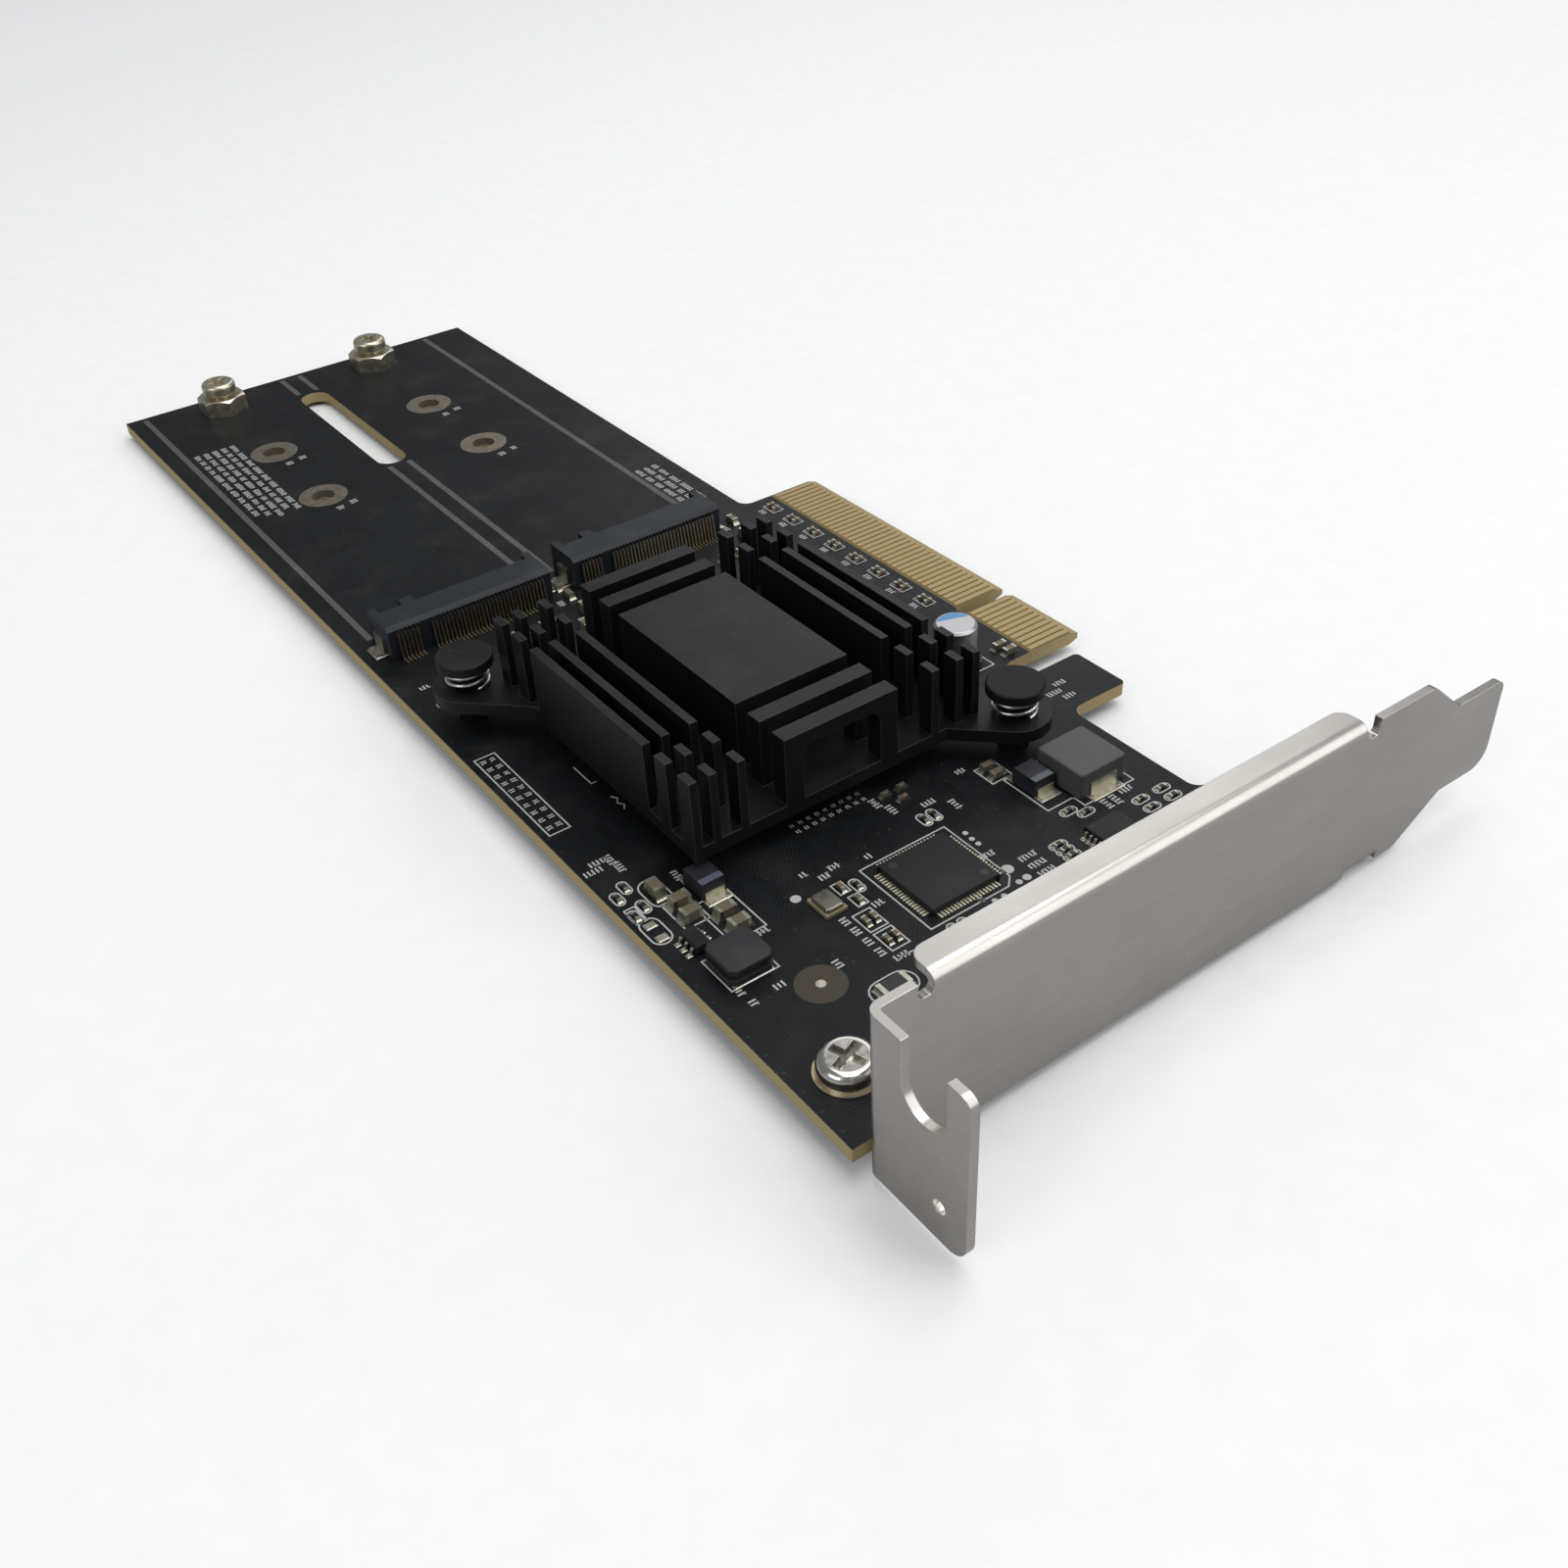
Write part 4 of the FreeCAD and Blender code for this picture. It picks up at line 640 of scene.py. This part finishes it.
boardLabels = [
    (13.9, 1.45, 5, 90), (12.9, 2.6, 5, 90), (13.25, 3.7, 4, 0), (14.8, 3.9, 4, 0), (19.5, 7.6, 4, 0),
    (27.3, 17.2, 2, 90), (28.8, 18.7, 3, 90), (28.2, 20.3, 3, 90), (29.1, 23.9, 2, 90), (35.1, 20.3, 3, 90),
    (35.2, 16.3, 3, 0), (36.9, 16.3, 3, 0), (38.7, 16.3, 3, 0), (40.5, 16.3, 3, 0), (42.1, 17.5, 4, 90),
    (38.2, 6.5, 3, 90), (36.75, 3.2, 2, 0), (38.5, 3.4, 2, 0), (31.4, 9.5, 3, 90), (22.95, 29.7, 4, 0),
    (24.8, 30.4, 4, 0), (28.15, 36.0, 4, 0), (24.3, 40.0, 3, 90), (38.9, 36.0, 5, 90), (40.3, 36.0, 5, 90),
    (41.7, 36.0, 5, 90), (43.1, 36.0, 5, 90), (36.3, 33.1, 4, 90), (38.6, 31.2, 4, 90), (40.4, 28.3, 4, 0),
    (37.9, 47.9, 4, 0), (37.9, 49.1, 4, 0), (37.4, 51.0, 4, 90), (20.0, 57.6, 5, 90), (21.4, 58.6, 4, 90),
    (18.9, 59.4, 4, 90), (3.0, 58.0, 4, 0), (-22.5, 3.1, 3, 90), (-27.0, 3.1, 3, 90), (-21.0, 5.0, 4, 0),
    (-30.5, 20.8, 3, 0), (-33.0, 24.8, 3, 0), (-26.0, 28.4, 3, 90), (-35.5, 51.3, 3, 0), (-31.0, 54.4, 4, 0),
    (26.3, 34.0, 4, 90), (39.3, 12.3, 3, 0)]


def inkPairs():
    # two rows of small paired marks along the heatsink's edge, and two loose marks at its side
    for i in range(9):
        for x in (20.5, 21.6):
            inkLabel(x, 20.9 + i * 1.05, 2, 90, 0.65)
    inkLine([(-2.4, 8.75), (1.3, 8.75), (1.3, 9.35)])
    inkLine([(4.5, 9.15), (5.2, 9.6), (5.9, 9.15), (6.6, 9.6), (7.2, 9.2)])


def inkController():
    low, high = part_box("controller_pads")
    gap = 0.45
    x0, x1 = low.x / mm - gap, high.x / mm + gap
    i0, i1 = (low.y - freeEdge) / mm - gap, (high.y - freeEdge) / mm + gap
    inkLine([(x0, i0), (x1, i0), (x1, i1 - 1.1), (x1 - 1.1, i1), (x0, i1)], None, True)


def inkRoundChips():
    # a slot-shaped outline round every small resistor
    for low, high in solidsIn("chip_resistors"):
        size = (high - low) / mm
        if max(size.x, size.y) > 1.5:
            continue
        x, inset = (low.x + high.x) / 2 / mm, ((low.y + high.y) / 2 - freeEdge) / mm
        inkOval(x, inset, 2.05, 1.05, size.y > size.x)


def inkCapacitorRow():
    # brackets round the pairs of small capacitors behind the contact tongue
    row = [box for box in solidsIn("ceramic_capacitors")
           if box[0].y > freeEdge + 58.5 * mm and box[0].x < -3 * mm]
    for first, second in zip(row[::2], row[1::2]):
        x0, x1 = first[0].x / mm - 0.35, second[1].x / mm + 0.35
        i0, i1 = (first[0].y - freeEdge) / mm - 0.5, (first[1].y - freeEdge) / mm + 0.5
        inkFrame(x0, i0, x1, i1, 0.14)
        inkLabel((x0 + x1) / 2, i0 - 0.9, 3)


inkLanes()
inkHoleNumbers()
inkTable()
inkTextBlock(-105.0, 4.3, -78.5, 5, 1.35)
inkTextBlock(-57.8, 51.3, -44.6, 3, 1.35)
inkPairs()
inkController()
inkRoundChips()
inkCapacitorRow()
for outline in boardOutlines:
    inkFrame(*outline)
for oval in boardOvals:
    inkOval(*oval)
for dot in boardDots:
    inkDot(*dot)
for label in boardLabels:
    inkLabel(*label)
inkLine([(42.1, 17.2), (42.4, 20.3)])
inkLine([(42.0, 19.4), (42.4, 20.4), (42.9, 19.5)])
makePiece("board_ink", inkMarks, ink)
print("ink drawn")


viaLook = {"radius": 0.2, "edgeStep": 2.7, "edgeInset": 0.6, "endGap": 2.0, "height": 0.008, "steps": 10}
looseVias = [
    (27.8, 24.6), (28.6, 22.9), (38.0, 12.6), (39.2, 13.4), (33.1, 12.0), (25.5, 14.2), (24.4, 17.5),
    (26.9, 26.9), (27.1, 28.2), (30.2, 37.9), (31.4, 38.7), (34.8, 38.2), (36.1, 40.3), (23.2, 36.5),
    (24.6, 37.8), (44.2, 24.8), (45.6, 27.1), (46.8, 30.9), (45.2, 33.7), (46.1, 44.8), (47.3, 40.2)]


def makeVias():
    radius, height = viaLook["radius"] * mm, viaLook["height"] * mm
    work = bmesh.new()
    places = []
    x = boardHigh.x / mm - viaLook["endGap"]
    while x > boardLow.x / mm + viaLook["endGap"]:
        places.append((x, viaLook["edgeInset"]))
        x -= viaLook["edgeStep"]
    for x, inset in places + looseVias:
        addDisc(work, at(x, inset), radius, 0, height, viaLook["steps"])
    makePiece("vias", work, viaDark)


fiducialLook = {"place": (40.4, 9.55), "window": 2.5, "windowRise": 0.012, "dot": 0.5, "dotRise": 0.03}


def makeFiducial():
    look = fiducialLook
    work = bmesh.new()
    addDisc(work, at(*look["place"]), look["window"] * mm, 0, look["windowRise"] * mm, 48)
    makePiece("fiducial_window", work, bareLaminate)
    work = bmesh.new()
    addDisc(work, at(*look["place"]), look["dot"] * mm, 0, look["dotRise"] * mm, 24)
    makePiece("fiducial_dot", work, tin)


padLook = {"slope": 0.12, "length": 1.0, "width": 1.3, "rise": 0.09}


def addPad(work, low, high, rise):
    # tinned pad with a crowned top
    inner = padLook["slope"] * mm
    lower = [work.verts.new((x, y, 0)) for x, y in
             ((low.x, low.y), (high.x, low.y), (high.x, high.y), (low.x, high.y))]
    upper = [work.verts.new((x, y, rise)) for x, y in
             ((low.x + inner, low.y + inner), (high.x - inner, low.y + inner),
              (high.x - inner, high.y - inner), (low.x + inner, high.y - inner))]
    work.faces.new(lower[::-1])
    work.faces.new(upper)
    for i in range(4):
        work.faces.new((lower[i], lower[(i + 1) % 4], upper[(i + 1) % 4], upper[i]))


def makeEmptyPads():
    # places on the board that carry no part
    halfLong, halfWide, rise = padLook["length"] / 2, padLook["width"] / 2, padLook["rise"] * mm
    work = bmesh.new()
    for x, inset in ((24.05, 1.65), (26.2, 1.65)):
        addPad(work, at(x - halfLong, inset - halfWide), at(x + halfLong, inset + halfWide), rise)
    makePiece("empty_pads", work, tin)


makeVias()
makeFiducial()
makeEmptyPads()


solderLook = {"reach": 0.32, "climb": 0.72, "margin": 0.06, "foot": 0.5, "leadRise": 0.06, "endRise": 0.07,
              "clipRise": 0.08, "clipGrow": (0.2, 0.3)}
leadGrow = {"regulator_leads": 0.16, "memory_chip_leads": 0.12}
endGrow = {"large_inductor_terminals": 0.45, "polymer_capacitor_terminals": 0.3, "electrolytic_leads": 0.25,
           "small_inductor_terminals": 0.12}


def addFillet(work, low, high, way):
    # a hollow-faced wedge of solder from an end cap's foot up its outer face
    tall = high.z * solderLook["climb"]
    reach = solderLook["reach"] * mm * min(1.3, 0.7 + high.z / mm * 0.5)
    margin = solderLook["margin"] * mm
    across = Vector((-way.y, way.x, 0))
    centre = (low + high) / 2
    half = (abs(across.x) * (high.x - low.x) + abs(across.y) * (high.y - low.y)) / 2
    face = (abs(way.x) * (high.x - low.x) + abs(way.y) * (high.y - low.y)) / 2
    foot = Vector((centre.x, centre.y, 0)) + way * face
    profile = [(0.0, 1.0), (0.12, 0.62), (0.3, 0.34), (0.6, 0.12), (1.0, 0.04)]
    lines = []
    for out, up in profile:
        middle = foot + way * reach * out + Vector((0, 0, tall * up))
        spreadOut = half + margin * out
        lines.append([work.verts.new(middle + across * side * spreadOut) for side in (-1, 1)])
    base = [work.verts.new(foot + way * reach * out + across * side * (half + margin * out))
            for out in (0, 1) for side in (-1, 1)]
    for first, second in zip(lines, lines[1:]):
        work.faces.new((first[0], first[1], second[1], second[0]))
    work.faces.new((lines[0][0], base[0], base[1], lines[0][1]))
    work.faces.new((lines[-1][0], lines[-1][1], base[3], base[2]))
    work.faces.new((base[0], base[2], base[3], base[1]))
    for side, low1, low2 in ((0, base[0], base[2]), (1, base[1], base[3])):
        work.faces.new([line[side] for line in lines] + [low2, low1])


def makeChipSolder(bodies, caps, name):
    work = bmesh.new()
    ends = solidsIn(caps)
    for low, high in solidsIn(bodies):
        middle = (low + high) / 2
        near = sorted(ends, key=lambda b: ((b[0] + b[1]) / 2 - middle).length)[:2]
        for capLow, capHigh in near:
            way = (capLow + capHigh) / 2 - middle
            if abs(way.x) > abs(way.y):
                way = Vector((math.copysign(1, way.x), 0, 0))
            else:
                way = Vector((0, math.copysign(1, way.y), 0))
            addFillet(work, capLow, capHigh, way)
    makePiece(name, work, tin, True)


def makeLeadSolder():
    # shallow pads under every lead's foot
    foot = solderLook["foot"] * mm
    work = bmesh.new()
    for nodeName, grow in leadGrow.items():
        middle = (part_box(nodeName)[0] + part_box(nodeName)[1]) / 2
        for low, high in solidsIn(nodeName):
            outer = high.y > middle.y
            y0, y1 = (high.y - foot, high.y + grow * mm) if outer else (low.y - grow * mm, low.y + foot)
            wider = grow * mm * 0.6
            corners = Vector((low.x - wider, y0, 0)), Vector((high.x + wider, y1, 0))
            addPad(work, *corners, solderLook["leadRise"] * mm)
    for nodeName, grow in endGrow.items():
        for low, high in solidsIn(nodeName):
            margin = Vector((grow * mm, grow * mm, 0))
            addPad(work, low - margin, high + margin, solderLook["endRise"] * mm)
    for bay in bays:
        for low, high in solidsIn("socket_" + bay + "_clips"):
            margin = Vector((*solderLook["clipGrow"], 0)) * mm
            addPad(work, low - margin, high + margin, solderLook["clipRise"] * mm)
    makePiece("lead_solder", work, tin)


makeChipSolder("ceramic_capacitors", "ceramic_capacitor_ends", "capacitor_solder")
makeChipSolder("chip_resistors", "chip_resistor_ends", "resistor_solder")
makeLeadSolder()
print("solder made")


socketLook = {"blade": 0.22, "thick": 0.12, "pitch": 0.5, "endGap": 1.2, "floor": 1.7, "roof": 3.0,
              "wall": 4.2, "rib": 0.2, "ribDepth": 0.22, "ribSunk": 0.02, "ribLow": 2.2, "ribHigh": 3.75}


def addSheetStrip(work, outline, y, width):
    # a bent strip: outline of (x, z), one width along Y
    nearRow = [work.verts.new((x, y - width / 2, z)) for x, z in outline]
    farRow = [work.verts.new((x, y + width / 2, z)) for x, z in outline]
    count = len(outline)
    work.faces.new(nearRow)
    work.faces.new(farRow[::-1])
    for i in range(count):
        j = (i + 1) % count
        work.faces.new((nearRow[j], nearRow[i], farRow[i], farRow[j]))


def makeSocketDetails(bay):
    low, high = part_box("socket_" + bay + "_housing")
    tails = solidsIn("socket_" + bay + "_contacts")
    floor, roof, thick, endGap = (socketLook[k] * mm for k in ("floor", "roof", "thick", "endGap"))
    wall = low.x + socketLook["wall"] * mm
    work = bmesh.new()
    for tailLow, tailHigh in tails:
        y = (tailLow.y + tailHigh.y) / 2
        if not low.y + endGap < y < high.y - endGap:
            continue
        lowBlade = [(wall, floor), (wall - 2.2 * mm, floor + 0.16 * mm),
                    (low.x + 0.9 * mm, floor + 0.42 * mm), (low.x + 0.5 * mm, floor + 0.24 * mm)]
        outline = lowBlade + [(x, z + thick) for x, z in lowBlade[::-1]]
        addSheetStrip(work, outline, y, socketLook["blade"] * mm)
        highBlade = [(wall, roof), (wall - 1.4 * mm, roof - 0.14 * mm), (low.x + 1.9 * mm, roof - 0.40 * mm),
                     (low.x + 1.6 * mm, roof - 0.26 * mm)]
        outline = highBlade + [(x, z - thick) for x, z in highBlade[::-1]]
        addSheetStrip(work, outline, y + socketLook["pitch"] / 2 * mm, socketLook["blade"] * mm)
    makePiece("socket_" + bay + "_blades", work, contactGold)
    work = bmesh.new()
    for tailLow, tailHigh in tails[:-1]:
        y = (tailLow.y + tailHigh.y) / 2 + socketLook["pitch"] / 2 * mm
        half = socketLook["rib"] * mm / 2
        addBlock(work, (high.x - socketLook["ribSunk"] * mm, y - half, socketLook["ribLow"] * mm),
                 (high.x + socketLook["ribDepth"] * mm, y + half, socketLook["ribHigh"] * mm))
    makePiece("socket_" + bay + "_ribs", work, socketPlastic)


for bay in bays:
    makeSocketDetails(bay)
print("socket details made")


stripeLook = {"width": 0.95, "draft": 0.13, "sunk": 0.01, "rise": 0.012}


def makeCapStripe(end):
    # pale stripe across the marked end of a moulded capacitor
    low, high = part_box("polymer_capacitor_" + end)
    width, draft, sunk, rise = (stripeLook[k] * mm for k in ("width", "draft", "sunk", "rise"))
    work = bmesh.new()
    addBlock(work, (high.x - width, low.y + draft, high.z - sunk),
             (high.x - draft, high.y - draft, high.z + rise))
    makePiece("polymer_stripe_" + end, work, stripeInk)


canMarkLook = {"rim": 0.42, "start": 95, "sweep": 130, "steps": 20, "sunk": 0.01, "rise": 0.015}


def makeCanMark():
    # plain coloured segment on the can's end
    low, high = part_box("electrolytic_can")
    centre = (low + high) / 2
    radius = (high.x - low.x) / 2 - canMarkLook["rim"] * mm
    start, sweep = math.radians(canMarkLook["start"]), math.radians(canMarkLook["sweep"])
    steps = canMarkLook["steps"]
    outline = [(centre.x + radius * math.cos(start + sweep * i / steps),
                centre.y + radius * math.sin(start + sweep * i / steps)) for i in range(steps + 1)]
    work = bmesh.new()
    addPrism(work, outline, high.z - canMarkLook["sunk"] * mm, high.z + canMarkLook["rise"] * mm)
    makePiece("can_mark", work, blueInk)


dimpleLook = {"sunk": 0.02, "rise": 0.004, "steps": 28}


def makeDimple(nodeName, dx, dy, radius, name):
    # round moulding mark on a chip: a very thin disc in another black
    low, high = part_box(nodeName)
    work = bmesh.new()
    centre = (low.x + dx * mm, low.y + dy * mm, 0)
    bottom, top = high.z - dimpleLook["sunk"] * mm, high.z + dimpleLook["rise"] * mm
    addDisc(work, centre, radius * mm, bottom, top, dimpleLook["steps"])
    makePiece(name, work, caseBlack)


for end in ("a", "b"):
    makeCapStripe(end)
makeCanMark()
makeDimple("controller_chip", 1.0, 1.2, 0.5, "controller_dimple")
makeDimple("controller_chip", 7.3, 7.4, 0.45, "controller_ejector")
makeDimple("memory_chip", 0.5, 0.6, 0.2, "memory_dimple")
print("marks made")


stageLook = {"floor": (0.90, 0.90, 0.90), "shade": 0.97, "mirrored": (0.33, 0.33, 0.33), "rough": 0.9,
             "span": 6.0, "thick": 0.01, "fade": (0.5, 1.4)}


def makeFloor():
    # the card lies on its two push pins' barbs and one far post's tail
    feet = [Vector(((low.x + high.x) / 2, (low.y + high.y) / 2, low.z))
            for low, high in solidsIn("push_pins") + solidsIn("standoff_b")]
    upright = (feet[1] - feet[0]).cross(feet[2] - feet[0]).normalized()
    upright = upright if upright.z > 0 else -upright
    work = bmesh.new()
    half = stageLook["span"] / 2
    addBlock(work, (-half, -half, -stageLook["thick"]), (half, half, 0))
    mesh = bpy.data.meshes.new("floor")
    work.to_mesh(mesh)
    work.free()
    floor = bpy.data.objects.new("floor", mesh)
    bpy.context.collection.objects.link(floor)
    floor.rotation_euler = upright.to_track_quat("Z", "Y").to_euler()
    floor.location = feet[0]
    material, tree, shader = beginMaterial("floorPaper")
    grain = useGroup(tree, fineGrain, Size=0.004, Detail=5.0)
    path = addNode(tree, "LightPath")
    shaded = [c * stageLook["shade"] for c in stageLook["floor"]]
    paper = tint(tree, grain.outputs["Tone"], shaded, stageLook["floor"])
    paper = tint(tree, path.outputs["Is Glossy Ray"], paper, stageLook["mirrored"])

    # far from the card the camera sees plain white instead of the lamps' falloff
    place = addNode(tree, "TexCoord")
    away = addNode(tree, "VectorMath", operation="LENGTH")
    tree.links.new(place.outputs["Object"], away.inputs[0])
    fade = spread(tree, away.outputs["Value"], *stageLook["fade"])
    fade = calc(tree, "MULTIPLY", fade, path.outputs["Is Camera Ray"])
    tree.links.new(tint(tree, fade, paper, (0, 0, 0)), shader.inputs["Base Color"])
    tree.links.new(fade, shader.inputs["Emission Strength"])
    shader.inputs["Emission Color"].default_value = (1, 1, 1, 1)
    shader.inputs["Roughness"].default_value = stageLook["rough"]
    mesh.materials.append(material)


def addSoftbox(name, place, aim, size, power):
    lamp = bpy.data.lights.new(name, "AREA")
    lamp.shape = "RECTANGLE"
    lamp.size, lamp.size_y = size
    lamp.energy = power
    softbox = bpy.data.objects.new(name, lamp)
    bpy.context.collection.objects.link(softbox)
    softbox.location = place
    softbox.rotation_euler = (Vector(aim) - Vector(place)).to_track_quat("-Z", "Y").to_euler()


worldLook = {"colour": (0.96, 0.975, 1.0), "fill": 0.40, "mirrored": 0.2}


def makeWorld():
    world = bpy.data.worlds.new("studio")
    bpy.context.scene.world = world
    world.use_nodes = True
    tree = world.node_tree
    sky = tree.nodes["Background"]
    path = addNode(tree, "LightPath")
    colour = tint(tree, path.outputs["Is Camera Ray"], worldLook["colour"], (1, 1, 1))
    tree.links.new(colour, sky.inputs["Color"])
    change = worldLook["mirrored"] - worldLook["fill"]
    strength = calc(tree, "MULTIPLY", path.outputs["Is Glossy Ray"], change)
    strength = calc(tree, "ADD", strength, worldLook["fill"])
    strength = calc(tree, "MAXIMUM", strength, path.outputs["Is Camera Ray"])
    tree.links.new(strength, sky.inputs["Strength"])


cameraLook = {"place": (126.73, -120.77, 103.55), "turn": (52.646, 2.568, 53.866), "lens": 37.48,
              "sensor": 36, "clip": 0.005}


def makeCamera():
    lens = bpy.data.cameras.new("camera")
    lens.lens = cameraLook["lens"]
    lens.sensor_width = cameraLook["sensor"]
    lens.clip_start = cameraLook["clip"]
    camera = bpy.data.objects.new("camera", lens)
    bpy.context.collection.objects.link(camera)
    camera.location = Vector(cameraLook["place"]) * mm
    camera.rotation_euler = [math.radians(a) for a in cameraLook["turn"]]
    bpy.context.scene.camera = camera


makeFloor()
makeWorld()
addSoftbox("overheadSoftbox", (0.05, 0.10, 0.80), (-0.02, -0.03, 0), (0.8, 0.6), 3.8)
addSoftbox("sideSoftbox", (0.10, -0.65, 0.40), (0.0, -0.03, 0), (0.4, 0.3), 0.9)
addSoftbox("backSoftbox", (-0.60, 0.55, 0.55), (-0.02, -0.02, 0), (0.5, 0.45), 0.8)
addSoftbox("bendSoftbox", (0.54, 0.45, 0.42), (0.058, -0.03, 0.016), (0.8, 0.7), 2.2)
makeCamera()
bpy.context.scene.view_settings.view_transform = "Standard"
print("stage ready")
